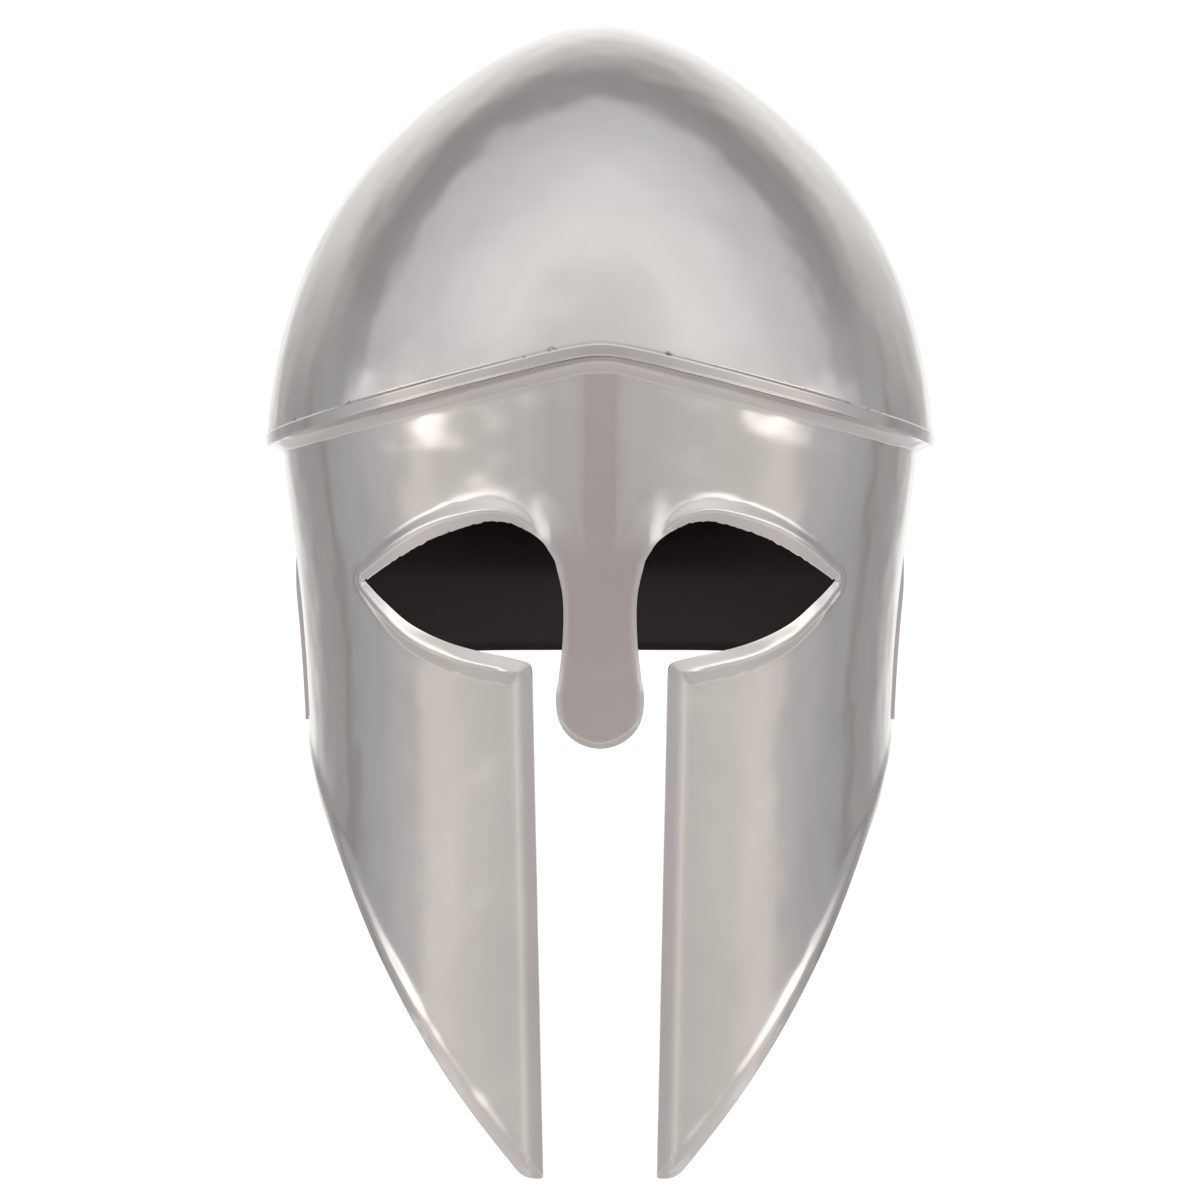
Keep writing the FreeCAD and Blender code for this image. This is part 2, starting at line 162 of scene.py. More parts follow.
TEMPLE_SWELL = (51.0, 2.0)
TEMPLE_SWELL_HEIGHT = 0.42
TEMPLE_SWELL_HALF_WIDTH = 7.0
TEMPLE_SWELL_HALF_HEIGHT = 9.5

# How closely the grids of the bowl, the face plate and the neck guard are spaced. The list says
# how high above the lip the bowl's lowest rows lie.
BOWL_RINGS = 106
BOWL_LOW_ROWS = [-0.8, -0.75, -0.5, *np.arange(-0.2, 3.5, 0.2), 3.9, 4.6, 5.6]
CROWN_SOFT_RINGS = 12.0
PLATE_MIDDLE_HEIGHT = -50.0
NOSE_GRID_WIDTH = 30.0
NOSE_GRID_STEP = 0.8
SIDE_GRID_STEP = 1.2
CHEEK_GRID_STEP = 1.1
EYE_GRID_BOTTOM = -62.0
EYE_GRID_TOP = -12.0
EYE_GRID_STEP = 0.9
FOREHEAD_ROWS = 24
FLANGE_ROWS = 12
FLANGE_FADE_ROWS = 7.0
NECK_COLUMNS = 250
NECK_ROWS = 72

# A grid point closer than this to a plate's outline counts as just inside it, and so does the
# plate's rear edge within the margin
LEAST_LEVEL = 0.03
REAR_EDGE_MARGIN = 0.5

# Neighbouring walls of a sheet's edge are shaded as one where their directions' cosine is above this
SMOOTH_WALL_COSINE = 0.7

BAND_TO_WALL = 1.5
BAND_THICKNESS = 2.0
BAND_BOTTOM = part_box("liner_band")[0].z / MM
BAND_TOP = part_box("liner_band")[1].z / MM
LINER_GAP = 0.3
PAD_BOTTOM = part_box("brow_pad")[0].z / MM
PAD_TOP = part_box("brow_pad")[1].z / MM
PAD_THICKNESS = 10.0
PAD_EDGE_THICKNESS = 2.5
PAD_ANGLES = {
    "brow_pad": (-34, 34),
    "temple_pad_left": (42, 98),
    "temple_pad_right": (-98, -42),
    "rear_pad_left": (114, 142),
    "rear_pad_right": (-142, -114),
    "nape_pad": (156, 204),
}
TONGUE_COUNT = 8
TONGUE_GAP_ANGLE = 0.8
TONGUE_BOTTOM = 17.5
TONGUE_SPRING = 22.0
TONGUE_RISE = 66.0
TONGUE_THICKNESS = 1.8
TONGUE_TIP_LEAN = 75.0
TONGUE_TAPER = 0.25
CROWN_DISC_LEAN = 68.0
CROWN_DISC_THICKNESS = 2.0

BAND_STITCH_ROWS = (-9.0, 20.0)
STITCH_DIP = 0.25
STITCH_DIP_HALF_WIDTH = 0.8
STITCH_PITCH = 4.4
STITCH_LENGTH = 3.1
STITCH_WIDTH = 0.9
STITCH_HEIGHT = 0.63
STITCH_LIFT = 0.18
HEM = 3.2
PAD_INSET = 1.5
PAD_VOXEL = 2.0
PAD_CLOTH_MASS = 0.02
PAD_CLOTH_STEPS = 20
PAD_PRESSURE = 4.0
PAD_MOVE_LIMIT = 2.2
PAD_CHANNEL_PITCH = 14.0
PAD_CHANNEL_DEPTH = 1.4
PAD_CHANNEL_HALF_WIDTH = 1.3
PAD_PUCKER_DEPTH = 1.2
PAD_PUCKER_HALF_WIDTH = 5.0
PAD_BACK_SHARE = 1.0 / 30.0
PAD_CORNER = 4.0
PIPING_RADIUS = 1.1

# Metres
FLOOR_HEIGHT = -2.9
FLOOR_RADIUS = 15.0
FLOOR_SIDES = 96
STRIP_GAIN = 1.1
CAMERA_DISTANCE = 2.0
CAMERA_HEIGHT = -0.0558
CAMERA_AIM_HEIGHT = -0.0403
VIEW_WIDTH = 0.372

# Tones of the light tent round the helmet: degrees from straight in front, then red, green and
# blue. They began as medians of the reference photograph's tones by reflected direction, which a
# separate script measured. They were divided by the steel's own tone, rounded, and adjusted. The
# high tones take the place of the level ones as a direction turns upward.
LEVEL_TONES = [
    (0, 0.50, 0.44, 0.43), (15, 0.57, 0.55, 0.55), (32, 0.63, 0.61, 0.61), (50, 0.71, 0.68, 0.66),
    (65, 0.75, 0.72, 0.69), (77, 0.86, 0.81, 0.77), (87, 0.83, 0.78, 0.74), (94, 0.62, 0.61, 0.61),
    (112, 0.50, 0.50, 0.51), (124, 0.45, 0.45, 0.46), (129, 0.33, 0.32, 0.32), (133, 0.44, 0.41, 0.41),
    (144, 0.42, 0.40, 0.40), (154, 0.58, 0.57, 0.56), (166, 1.02, 1.02, 1.00), (180, 1.22, 1.22, 1.20),
]
HIGH_TONES = [
    (12, 0.72, 0.71, 0.70), (30, 0.84, 0.82, 0.81), (48, 1.02, 1.00, 0.99), (65, 0.94, 0.92, 0.93),
    (82, 0.76, 0.75, 0.78), (99, 0.66, 0.65, 0.67), (106, 0.40, 0.39, 0.40), (117, 0.36, 0.35, 0.35),
    (124, 0.47, 0.46, 0.45), (134, 0.72, 0.71, 0.69), (148, 0.95, 0.94, 0.92), (162, 1.15, 1.14, 1.12),
    (180, 1.30, 1.30, 1.28),
]
HIGH_TONES_GAIN = 3.6
HIGH_TONES_START = -0.35
BACKDROP_STRENGTH = 1.1

# The floor's tones, which paint uneven light on it by direction: from straight in front of the
# helmet, at 0, to straight behind it, at 1
FLOOR_PAINTED_LIGHT = [
    (0.02, (0.74, 0.70, 0.69)), (0.25, (0.86, 0.83, 0.81)), (0.42, (0.93, 0.90, 0.88)),
    (0.62, (0.80, 0.78, 0.77)), (0.80, (0.74, 0.73, 0.72)), (0.98, (0.92, 0.91, 0.90)),
]


# ---------------------------------------------------------------- shape of the helmet

def sin(angle):
    return np.sin(np.radians(angle))


def cos(angle):
    return np.cos(np.radians(angle))


def ease(value):
    """0 below 0, 1 above 1 and a smooth step between."""
    value = np.clip(value, 0.0, 1.0)
    return value * value * (3.0 - 2.0 * value)


def from_front(angle):
    """The same angle as a turn of 0 to 180 degrees from the nose."""
    return np.degrees(np.arccos(np.clip(cos(angle), -1.0, 1.0)))


def stacked(x, y, z):
    return np.stack(np.broadcast_arrays(x, y, z), axis=-1).astype(float)


def lip_height(angle):
    """Height of the bowl's lip, which peaks in front and falls a little at the back."""
    side = np.where(cos(angle) < 0, 1.0, np.abs(sin(angle)))
    height = LIP_SIDE_HEIGHT + LIP_PEAK * (1.0 - np.hypot(side, LIP_PEAK_ROUNDING))
    return height - LIP_REAR_DROP * np.minimum(cos(angle), 0.0) ** 2


def bowl_point(angle, height, proud=0.0):
    """Point on the bowl's outer face, or proud millimetres outside it."""
    level = np.clip((height - BOWL_WAIST) / (CROWN_TOP - BOWL_WAIST), 0.0, 1.0)
    power = CROWN_POWER_FRONT + (CROWN_POWER_SIDE - CROWN_POWER_FRONT) * sin(angle) ** 2
    spread = (1.0 - level ** BOWL_RISE_POWER) ** (1.0 / power)
    length = BOWL_REAR + (BOWL_FRONT - BOWL_REAR) * (1.0 + cos(angle)) / 2.0
    x = (BOWL_HALF_WIDTH * spread + proud) * sin(angle)
    return stacked(x, -(length * spread + proud) * cos(angle), height)


def wall_half_width(height):
    drop = np.maximum(WALL_TOP_HEIGHT - height, 0.0) / WALL_NARROWING_LENGTH
    return WALL_TOP_HALF_WIDTH - WALL_NARROWING * (1.0 - np.exp(-drop ** WALL_NARROWING_POWER))


def wall_half_length(angle, height):
    """Half the lower wall's length, front to rear, with the hollow and the flare of the nape."""
    rear = WALL_REAR - NAPE_HOLLOW * ease((NAPE_HOLLOW_TOP - height) / NAPE_HOLLOW_DROP)
    rear = rear + NAPE_FLARE * ease((NAPE_FLARE_TOP - height) / NAPE_FLARE_DROP)
    turn = ease((from_front(angle) - REAR_SHAPE_STARTS) / (REAR_SHAPE_WHOLE - REAR_SHAPE_STARTS))
    return WALL_FRONT + (rear - WALL_FRONT) * turn


def wall_point(angle, height, inward=0.0):
    """Point on the outer face of the lower wall, or inward millimetres inside it."""
    half_width = wall_half_width(height) - inward
    half_length = wall_half_length(angle, height) - inward
    return stacked(half_width * sin(angle), -half_length * cos(angle), height)


def through(points, at):
    """Smooth curve through pairs of place and value, read at the places given."""
    places = np.array([p[0] for p in points], float)
    values = np.array([p[1] for p in points], float)
    last = len(points) - 1
    before, after = np.maximum(np.arange(last + 1) - 1, 0), np.minimum(np.arange(last + 1) + 1, last)
    slopes = (values[after] - values[before]) / (places[after] - places[before])
    index = np.clip(np.searchsorted(places, at, side="left") - 1, 0, last - 1)
    span = places[index + 1] - places[index]
    t = (at - places[index]) / span
    start = (1 + 2 * t) * (1 - t) ** 2 * values[index] + t * (1 - t) ** 2 * span * slopes[index]
    return start + t * t * (3 - 2 * t) * values[index + 1] + t * t * (t - 1) * span * slopes[index + 1]


def lower_edge_height(angle):
    return through(LOWER_EDGE, from_front(angle))


def flange_height(angle):
    front, rear = np.maximum(cos(angle), 0.0), np.maximum(-cos(angle), 0.0)
    height = FLANGE_HEIGHT_SIDE + (FLANGE_HEIGHT_FRONT - FLANGE_HEIGHT_SIDE) * front
    return height + (FLANGE_HEIGHT_REAR - FLANGE_HEIGHT_SIDE) * rear


def flange_foot(angle):
    return lip_height(angle) - SHEET - flange_height(angle)


def flange_point(angle, turn):
    """Point on the hollow out-turned flange: turn 0 is its foot, 90 its outer edge."""
    foot = flange_foot(angle)
    height = foot + flange_height(angle) * sin(turn)
    wall = wall_point(angle, height)
    lip = bowl_point(angle, lip_height(angle) - SHEET, -FLANGE_INSET)
    share = (1.0 - cos(turn))[..., None]
    point = wall + (lip - wall) * share
    point[..., 2] = height
    return point


# ---------------------------------------------------------------- meshes

def new_object(name, verts, faces, materials, face_material=None, normals=None):
    """A smooth mesh object from points in millimetres. normals, if given, is one per face corner."""
    mesh = bpy.data.meshes.new(name)
    mesh.from_pydata(np.asarray(verts) * MM, [], faces)
    for material in materials:
        mesh.materials.append(material)
    if face_material is not None:
        mesh.polygons.foreach_set("material_index", np.asarray(face_material, np.int32))
    mesh.polygons.foreach_set("use_smooth", np.ones(len(mesh.polygons), bool))
    mesh.update()
    if normals is not None:
        mesh.normals_split_custom_set(normals)
    obj = bpy.data.objects.new(name, mesh)
    bpy.context.scene.collection.objects.link(obj)
    return obj


def shown(obj, slot, *nodes):
    """Fastens a finished piece to the helmet and lets it stand for its CAD nodes."""
    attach(obj, "root")
    if nodes:
        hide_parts(*nodes)
    return obj


def unit(vectors):
    length = np.linalg.norm(vectors, axis=-1, keepdims=True)
    return vectors / np.maximum(length, 1e-12)


def straight_out(points):
    """Level direction from the helmet's upright axis out to each point."""
    return unit(points * (1.0, 1.0, 0.0))


def bearing(points):
    """Angle round the helmet at which each point lies."""
    return np.degrees(np.arctan2(points[:, 0], -points[:, 1]))


def lengths_along(points):
    """Distance along a line of points from its first point to each of them."""
    return np.concatenate([[0.0], np.cumsum(np.linalg.norm(np.diff(points, axis=0), axis=1))])


def point_at(points, along, at):
    """A line's coordinates at a distance along it, from its points and their own distances."""
    return np.array([np.interp(at, along, column) for column in points.T])


def grid_cells(columns, rows):
    """Four corner numbers for each cell of a grid whose points are numbered column by column."""
    index = np.arange(columns * rows).reshape(columns, rows)
    corners = [index[:-1, :-1], index[1:, :-1], index[1:, 1:], index[:-1, 1:]]
    return np.stack(corners, axis=-1).reshape(-1, 4)


def flipped(faces):
    """The same faces, turned to face the other way."""
    return [face[::-1] for face in faces]


def grid_normals(points):
    """Outward normals of a grid whose first axis runs round and whose second runs up."""
    across = np.gradient(points, axis=0)
    up = np.gradient(points, axis=1)
    return unit(np.cross(across, up))


def blurred(values, times=3):
    """A grid of values, each averaged with its neighbours several times over."""
    for _ in range(times):
        padded = np.pad(values, 1, mode="edge")
        columns = padded[:-2] + padded[1:-1] + padded[2:]
        values = (columns[:, :-2] + columns[:, 1:-1] + columns[:, 2:]) / 9.0
    return values


def clipped_cells(level, points, normals):
    """Polygons of a grid's cells, cut along level = 0. Returns points, normals and polygons.

    Each cell's corners start so that its diagonal runs along a ridge, not across it.
    """
    corner = grid_cells(*level.shape)
    first_bend = (normals[:-1, :-1] * normals[1:, 1:]).sum(axis=2)
    second_bend = (normals[1:, :-1] * normals[:-1, 1:]).sum(axis=2)
    crosses_ridge = (blurred(second_bend - first_bend) > 0).ravel()
    corner[crosses_ridge] = np.roll(corner[crosses_ridge], 1, axis=1)
    level = level.ravel()
    all_points = list(points.reshape(-1, 3))
    all_normals = list(normals.reshape(-1, 3))
    inside = level[corner] > 0
    whole = inside.all(axis=1)
    part = inside.any(axis=1) & ~whole
    polygons = corner[whole].tolist()
    crossing = {}

    def cut(a, b):
        a, b = min(a, b), max(a, b)
        if (a, b) not in crossing:
            t = level[a] / (level[a] - level[b])
            crossing[a, b] = len(all_points)
            all_points.append(all_points[a] * (1 - t) + all_points[b] * t)
            all_normals.append(unit(all_normals[a] * (1 - t) + all_normals[b] * t))
        return crossing[a, b]

    for cell in corner[part].tolist():
        polygon = []
        for a, b in zip(cell, cell[1:] + cell[:1]):
            if level[a] > 0:
                polygon.append(a)
            if (level[a] > 0) != (level[b] > 0):
                polygon.append(cut(a, b))
        if len(polygon) >= 3:
            polygons.append(polygon)
    return np.array(all_points), np.array(all_normals), polygons


def thick_sheet(name, points, normals, polygons, thickness, materials):
    """A closed sheet: the polygons outside, a copy inside, and walls along the free edges."""
    used = np.unique(np.concatenate([np.array(p) for p in polygons]))
    renumber = np.full(len(points), -1)
    renumber[used] = np.arange(len(used))
    outer, normals = points[used], normals[used]
    polygons = [[int(renumber[v]) for v in p] for p in polygons]
    count = len(outer)
    verts = np.concatenate([outer, outer - normals * thickness])
    seen = set()
    for polygon in polygons:
        seen.update(zip(polygon, polygon[1:] + polygon[:1]))
    free = [(a, b) for a, b in seen if (b, a) not in seen]
    inner = [[v + count for v in reversed(p)] for p in polygons]
    walls = [[b, a, a + count, b + count] for a, b in free]

    def off_edge(a, b):
        return unit(np.cross(verts[b] - verts[a], normals[a] + normals[b]))

    corner_normals = [normals[v] for p in polygons for v in p]
    corner_normals += [-normals[v - count] for p in inner for v in p]
    wall_normals = {}
    for a, b in free:
        for v in (a, b):
            wall_normals.setdefault(v, []).append(off_edge(a, b))
    for a, b in free:
        own = off_edge(a, b)
        for v in (b, a, a, b):
            mean = unit(sum(wall_normals[v]))
            corner_normals.append(mean if np.dot(mean, own) > SMOOTH_WALL_COSINE else own)
    face_material = [0] * len(polygons) + [1] * len(inner) + [0] * len(walls)
    return new_object(name, verts, polygons + inner + walls, materials, face_material, corner_normals)


# ---------------------------------------------------------------- outline of the face plate

def arc_length(angle, height):
    """Distance round the lower wall from the nose line, at one height."""
    places, weights = np.polynomial.legendre.leggauss(16)
    angle, height = np.broadcast_arrays(np.asarray(angle, float), np.asarray(height, float))
    half = np.radians(angle) / 2
    turn = half[..., None] * (places + 1)
    speed = np.hypot(wall_half_width(height)[..., None] * np.cos(turn), WALL_FRONT * np.sin(turn))
    return half * (speed * weights).sum(axis=-1)


def unrolled(points):
    """Points of the front outline, as pairs of x and z, laid flat round the wall."""
    points = np.asarray(points, float)
    angle = np.degrees(np.arcsin(np.clip(points[:, 0] / wall_half_width(points[:, 1]), -1.0, 1.0)))
    return np.stack([arc_length(angle, points[:, 1]), points[:, 1]], axis=1)


def smooth_line(points, step=0.7):
    """Smooth curve through a few points, as closely spaced points."""
    points = np.asarray(points, float)
    along = lengths_along(points)
    at = np.linspace(0.0, along[-1], max(int(along[-1] / step), 2))
    return np.stack([through(list(zip(along, points[:, axis])), at) for axis in (0, 1)], axis=1)


def straight_line(start, end, step=0.9):
    count = max(int(math.dist(start, end) / step), 2)
    return np.linspace(start, end, count)


def rounded_corner(before, corner, after, radius):
    """A short curve that takes the point off a corner."""
    before, corner, after = (np.asarray(p, float) for p in (before, corner, after))
    start = corner + (before - corner) / np.linalg.norm(before - corner) * radius
    end = corner + (after - corner) / np.linalg.norm(after - corner) * radius
    t = np.linspace(0.0, 1.0, 7)[:, None]
    return (1 - t) ** 2 * start + 2 * t * (1 - t) * corner + t * t * end


def filed(points):
    """How far hand filing has left the upper eye edge off its line, at points laid flat."""
    x, height = points[:, 0], points[:, 1]
    uneven = 0.10 * np.sin(2.1 * x) + 0.08 * np.sin(3.7 * x + 1.0) + 0.06 * np.sin(0.9 * x)
    return uneven * ease((x - 20.0) / 6.0) * ease((76.0 - x) / 6.0) * (height > -34.0) * (height < -5.0)


def cheek_edge():
    """The cheek guard's outer edge, laid flat, from its tip up to the plate's rear edge."""
    angles = np.linspace(LOWER_EDGE[0][0] + 0.5, PLATE_SPLIT_ANGLE, 230)
    heights = lower_edge_height(angles)
    return np.stack([arc_length(angles, heights), heights], axis=1)


def plate_outline():
    """Edge of one half of the face plate, laid flat.

    Each of its points comes with its rim's height, reach and fall, and its edge's rounding.
    """
    side = NASAL_END[::-1] + NASAL_SIDE[::-1] + [EYE_INNER_CORNER]
    nasal = smooth_line([(-side[0][0], side[0][1]), (0.0, NASAL_TIP_HEIGHT)] + side)
    nasal = np.concatenate([[(0.0, NASAL_TIP_HEIGHT)], nasal[nasal[:, 0] > 0.2]])
    upper = smooth_line([EYE_INNER_CORNER] + EYE_UPPER_RIM[::-1] + [EYE_OUTER_CORNER], 0.4)
    lower = smooth_line([EYE_OUTER_CORNER] + EYE_LOWER_RIM[::-1] + [CHEEK_CORNER])
    slot_top = (SLOT_HALF_WIDTH_TOP, CHEEK_CORNER[1] - SLOT_BELOW_CORNER)
    slot_end = (SLOT_HALF_WIDTH_TIP, CHEEK_TIP_HEIGHT)
    slot = unrolled(straight_line(slot_top, slot_end))
    edge = cheek_edge()
    outer_tip = np.array([np.interp(CHEEK_TIP_HEIGHT, edge[:, 1], edge[:, 0]), CHEEK_TIP_HEIGHT])
    edge = edge[edge[:, 1] > CHEEK_TIP_HEIGHT + OUTER_TIP_START]
    inner_curve = rounded_corner(slot[0], slot[-1], outer_tip, INNER_TIP_ROUNDING)
    outer_curve = rounded_corner(slot[-1], outer_tip, edge[0], OUTER_TIP_ROUNDING)
    rear_heights = np.linspace(edge[-1, 1], 60.0, 120)
    rear = np.stack([arc_length(np.full(120, PLATE_SPLIT_ANGLE), rear_heights), rear_heights], axis=1)
    upper_rim = [through(trait, upper[:, 0]) for trait in (EYE_RIM_HEIGHT, EYE_RIM_REACH, EYE_RIM_FALL)]
    lower_rim = (LOWER_RIM_HEIGHT, through(LOWER_RIM_REACH, lower[:, 0]), LOWER_RIM_FALL)
    stretches = [
        (unrolled(nasal), (*NASAL_RIM, NASAL_ROUNDING)),
        (unrolled(upper), (*upper_rim, 0.0)),
        (unrolled(lower), (*lower_rim, 0.0)),
        (slot[1:-1], (*SLOT_RIM, 0.0)),
        (inner_curve, (*SLOT_RIM, 0.0)),
        (outer_curve, (CHEEK_RIM_HEIGHT[0][1], CHEEK_RIM_REACH, CHEEK_RIM_FALL, 0.0)),
        (edge[1:], (through(CHEEK_RIM_HEIGHT, edge[1:, 1]), CHEEK_RIM_REACH, CHEEK_RIM_FALL, 0.0)),
        (rear[1:], (*REAR_RIM, 0.0)),
    ]
    path = np.concatenate([points for points, _ in stretches])
    traits = [np.stack([np.broadcast_to(trait, len(points)) for trait in own], axis=1)
              for points, own in stretches]
    return path, softened(path, np.concatenate(traits), RIM_SOFTENING)


def softened(path, traits, reach):
    """Each trait averaged along the path, so that a rim fades out and doesn't stop."""
    along = lengths_along(path)
    weight = np.maximum(1.0 - np.abs(along[:, None] - along[None, :]) / reach, 0.0)
    weight = weight * np.gradient(along)[None, :]
    return (weight @ traits) / weight.sum(axis=1, keepdims=True)


def nearest_on(path, traits, places):
    """Distance from each place to the path, and the path's traits at the nearest point."""
    start, run = path[:-1], np.diff(path, axis=0)
    length_squared = np.maximum((run ** 2).sum(axis=1), 1e-12)
    distance = np.empty(len(places))
    found = np.empty((len(places), traits.shape[1]))
    block_size = 4000
    for first in range(0, len(places), block_size):
        block = places[first:first + block_size]
        offset = block[:, None, :] - start[None]
        t = np.clip((offset * run[None]).sum(axis=2) / length_squared, 0.0, 1.0)
        squared = ((offset - t[..., None] * run[None]) ** 2).sum(axis=2)
        best = squared.argmin(axis=1)
        rows = np.arange(len(block))
        distance[first:first + block_size] = np.sqrt(squared[rows, best])
        share = t[rows, best][:, None]
        found[first:first + block_size] = traits[best] * (1 - share) + traits[best + 1] * share
    return distance, found


def inside_outline(path, places):
    """Whether each place is metal: inside the half outline closed along the nose line."""
    loop = np.concatenate([path, [[0.0, path[-1, 1]]]])
    following = np.roll(loop, -1, axis=0)
    result = np.zeros(len(places), bool)
    for (x0, y0), (x1, y1) in zip(loop, following):
        if y0 == y1:
            continue
        straddles = (y0 > places[:, 1]) != (y1 > places[:, 1])
        meets = x0 + (places[:, 1] - y0) * (x1 - x0) / (y1 - y0)
        result ^= straddles & (places[:, 0] < meets)
    return result


# ---------------------------------------------------------------- steel pieces

def smooth_larger(a, b, width):
    """The larger of two heights, without a crease where they meet."""
    return 0.5 * (a + b + np.sqrt((a - b) ** 2 + width ** 2))


def rim_rise(distance, height, reach, fall):
    """Height of a raised rim at a distance from its edge: up to a rounded crest, then down."""
    up = height * (RIM_AT_EDGE + (1.0 - RIM_AT_EDGE) * distance / reach)
    down = height * (RIM_CREST_LIMIT - (distance - reach) / fall)
    crest = -smooth_larger(-up, -down, RIM_CREST_SOFTNESS * height + 1e-6)
    return smooth_larger(crest, 0.0, RIM_FOOT_SOFTNESS * height + 1e-6)


def nose_rise(x, height):
    """Height of the flat-topped ridge on the forehead, which widens into the nose guard."""
    x = np.abs(x)
    ridge = (1.0 - np.clip((x - NOSE_RIDGE_HALF_WIDTH) / NOSE_RIDGE_SLOPE, 0.0, 1.0)) ** 2
    brow_line = BROW_LINE_LOW + BROW_LINE_RISE * ease((x - NOSE_RIDGE_HALF_WIDTH) / BROW_LINE_LENGTH)
    below_brow = ease((brow_line - height) / BROW_SLOPE + 0.5)
    below_brow = below_brow * (1.0 - ease((x - NOSE_GUARD_HALF_WIDTH) / NOSE_GUARD_FADE))
    below_brow = np.where((height < NOSE_GUARD_TOP) & (x > NOSE_GUARD_REACH), 0.0, below_brow)
    flattening = np.minimum(x, NOSE_FLAT_HALF_WIDTH) ** 2 / (2.0 * NOSE_WALL_RADIUS)
    return (NOSE_RIDGE_HEIGHT + flattening) * np.maximum(ridge, below_brow)


def temple_swell(x, height):
    """A gentle swelling high on each side of the forehead, left by the hammer."""
    across = (np.abs(x) - TEMPLE_SWELL[0]) / TEMPLE_SWELL_HALF_WIDTH
    up = (height - TEMPLE_SWELL[1]) / TEMPLE_SWELL_HALF_HEIGHT
    return TEMPLE_SWELL_HEIGHT * np.exp(-across ** 2 - up ** 2)


def plate_grid():
    """Half of the face plate's grid: columns round from the nose, rows up to the flange's edge."""
    reach = float(arc_length(PLATE_SPLIT_ANGLE, PLATE_MIDDLE_HEIGHT))
    fine = np.arange(0.0, NOSE_GRID_WIDTH, NOSE_GRID_STEP)
    coarse = np.arange(NOSE_GRID_WIDTH, reach, SIDE_GRID_STEP)
    lengths = np.concatenate([fine, coarse, [reach]])
    table = np.linspace(0.0, PLATE_SPLIT_ANGLE, 400)
    angles = np.interp(lengths, arc_length(table, PLATE_MIDDLE_HEIGHT), table)
    cheek = np.arange(CHEEK_TIP_HEIGHT - 2.8, EYE_GRID_BOTTOM, CHEEK_GRID_STEP)
    eyes = np.arange(EYE_GRID_BOTTOM, EYE_GRID_TOP, EYE_GRID_STEP)
    foot = flange_foot(angles)[:, None]
    forehead = EYE_GRID_TOP + (foot - EYE_GRID_TOP) * np.linspace(0.0, 1.0, FOREHEAD_ROWS)[None, :-1]
    level = np.broadcast_to(np.concatenate([cheek, eyes]), (len(angles), len(cheek) + len(eyes)))
    heights = np.concatenate([level, forehead], axis=1)
    wall = wall_point(angles[:, None], heights)
    flange = flange_point(angles[:, None], np.linspace(0.0, 90.0, FLANGE_ROWS)[None, :])
    return angles, np.concatenate([wall, flange], axis=1), heights.shape[1]


def mirrored(half, flip):
    """A grid for both sides from the grid of one side. flip names the values that change sign."""
    other = half[:0:-1].copy()
    if flip:
        other[..., 0] *= -1.0
    return np.concatenate([other, half])


def face_plate(materials):
    """The face plate: its grid raised into rims and ridge, then cut along its outline."""
    angles, points, wall_rows = plate_grid()
    path, traits = plate_outline()
    heights = points[..., 2]
    places = np.stack([arc_length(angles[:, None], heights), heights], axis=-1).reshape(-1, 2)
    distance, found = nearest_on(path, traits, places)
    rim_height, reach, fall, rounding = (found[:, i].reshape(heights.shape) for i in range(4))
    distance = np.where(inside_outline(path, places), distance, -distance).reshape(heights.shape)
    rise = rim_rise(distance, rim_height, reach, fall)
    rise = smooth_larger(rise, nose_rise(points[..., 0], heights), NOSE_RISE_BLEND)
    rise = rise + temple_swell(points[..., 0], heights)
    rise = rise - rounding * (1.0 - np.clip(distance / NASAL_ROUNDING_WIDTH, 0.0, 1.0)) ** 2
    flange_rows = np.arange(heights.shape[1]) - wall_rows
    rise = rise * (1.0 - ease(flange_rows / FLANGE_FADE_ROWS))[None, :]
    raised = points + grid_normals(points) * rise[..., None]
    raised[0, :, 0] = 0.0
    distance = distance + filed(places).reshape(heights.shape)
    distance[:, wall_rows:] = np.maximum(distance[:, wall_rows:], 1.0)
    distance[-1] = np.where(distance[-1] > -REAR_EDGE_MARGIN, LEAST_LEVEL, distance[-1])
    full = mirrored(raised, True)
    level = mirrored(distance, False)
    level = np.where(np.abs(level) < LEAST_LEVEL, LEAST_LEVEL, level)
    parts = clipped_cells(level, full, grid_normals(full))
    return thick_sheet("face_plate_steel", *parts, SHEET, materials)


def neck_guard(materials):
    """The rear plate, with a rolled lower edge and bare steel inside along its front edges."""
    first = PLATE_SPLIT_ANGLE + NECK_GAP_ANGLE
    angles = np.linspace(first, 360.0 - first, NECK_COLUMNS)
    shares = np.linspace(0.0, 1.0, NECK_ROWS)
    low, foot = lower_edge_height(angles)[:, None], flange_foot(angles)[:, None]
    heights = low + (foot - low) * shares[None, :-1]
    flare = SIDE_FLARE * ease((SIDE_FLARE_TOP - heights) / SIDE_FLARE_DROP)
    wall = wall_point(angles[:, None], heights, -flare)
    flange = flange_point(angles[:, None], np.linspace(0.0, 90.0, FLANGE_ROWS)[None, :])
    points = np.concatenate([wall, flange], axis=1)
    step = np.linalg.norm(np.diff(points, axis=0), axis=2)
    from_first = np.concatenate([np.zeros((1, points.shape[1])), np.cumsum(step, axis=0)])
    from_edge = np.minimum(from_first, from_first[-1] - from_first)
    from_low = points[..., 2] - low
    rise = rim_rise(from_low, *NECK_RIM) * ease(from_edge / NECK_RIM_END_FADE)
    rise = rise * ease((foot - points[..., 2]) / NECK_RIM_TOP_FADE)
    raised = points + grid_normals(points) * rise[..., None]
    parts = clipped_cells(np.ones(raised.shape[:2]), raised, grid_normals(raised))
    guard = thick_sheet("neck_guard_steel", *parts, SHEET, materials)
    unpainted = from_edge.ravel() < BARE_EDGE
    outer_count = len(unpainted)
    for face in guard.data.polygons:
        if face.material_index == 1 and unpainted[face.vertices[0] - outer_count]:
            face.material_index = 0
    return guard


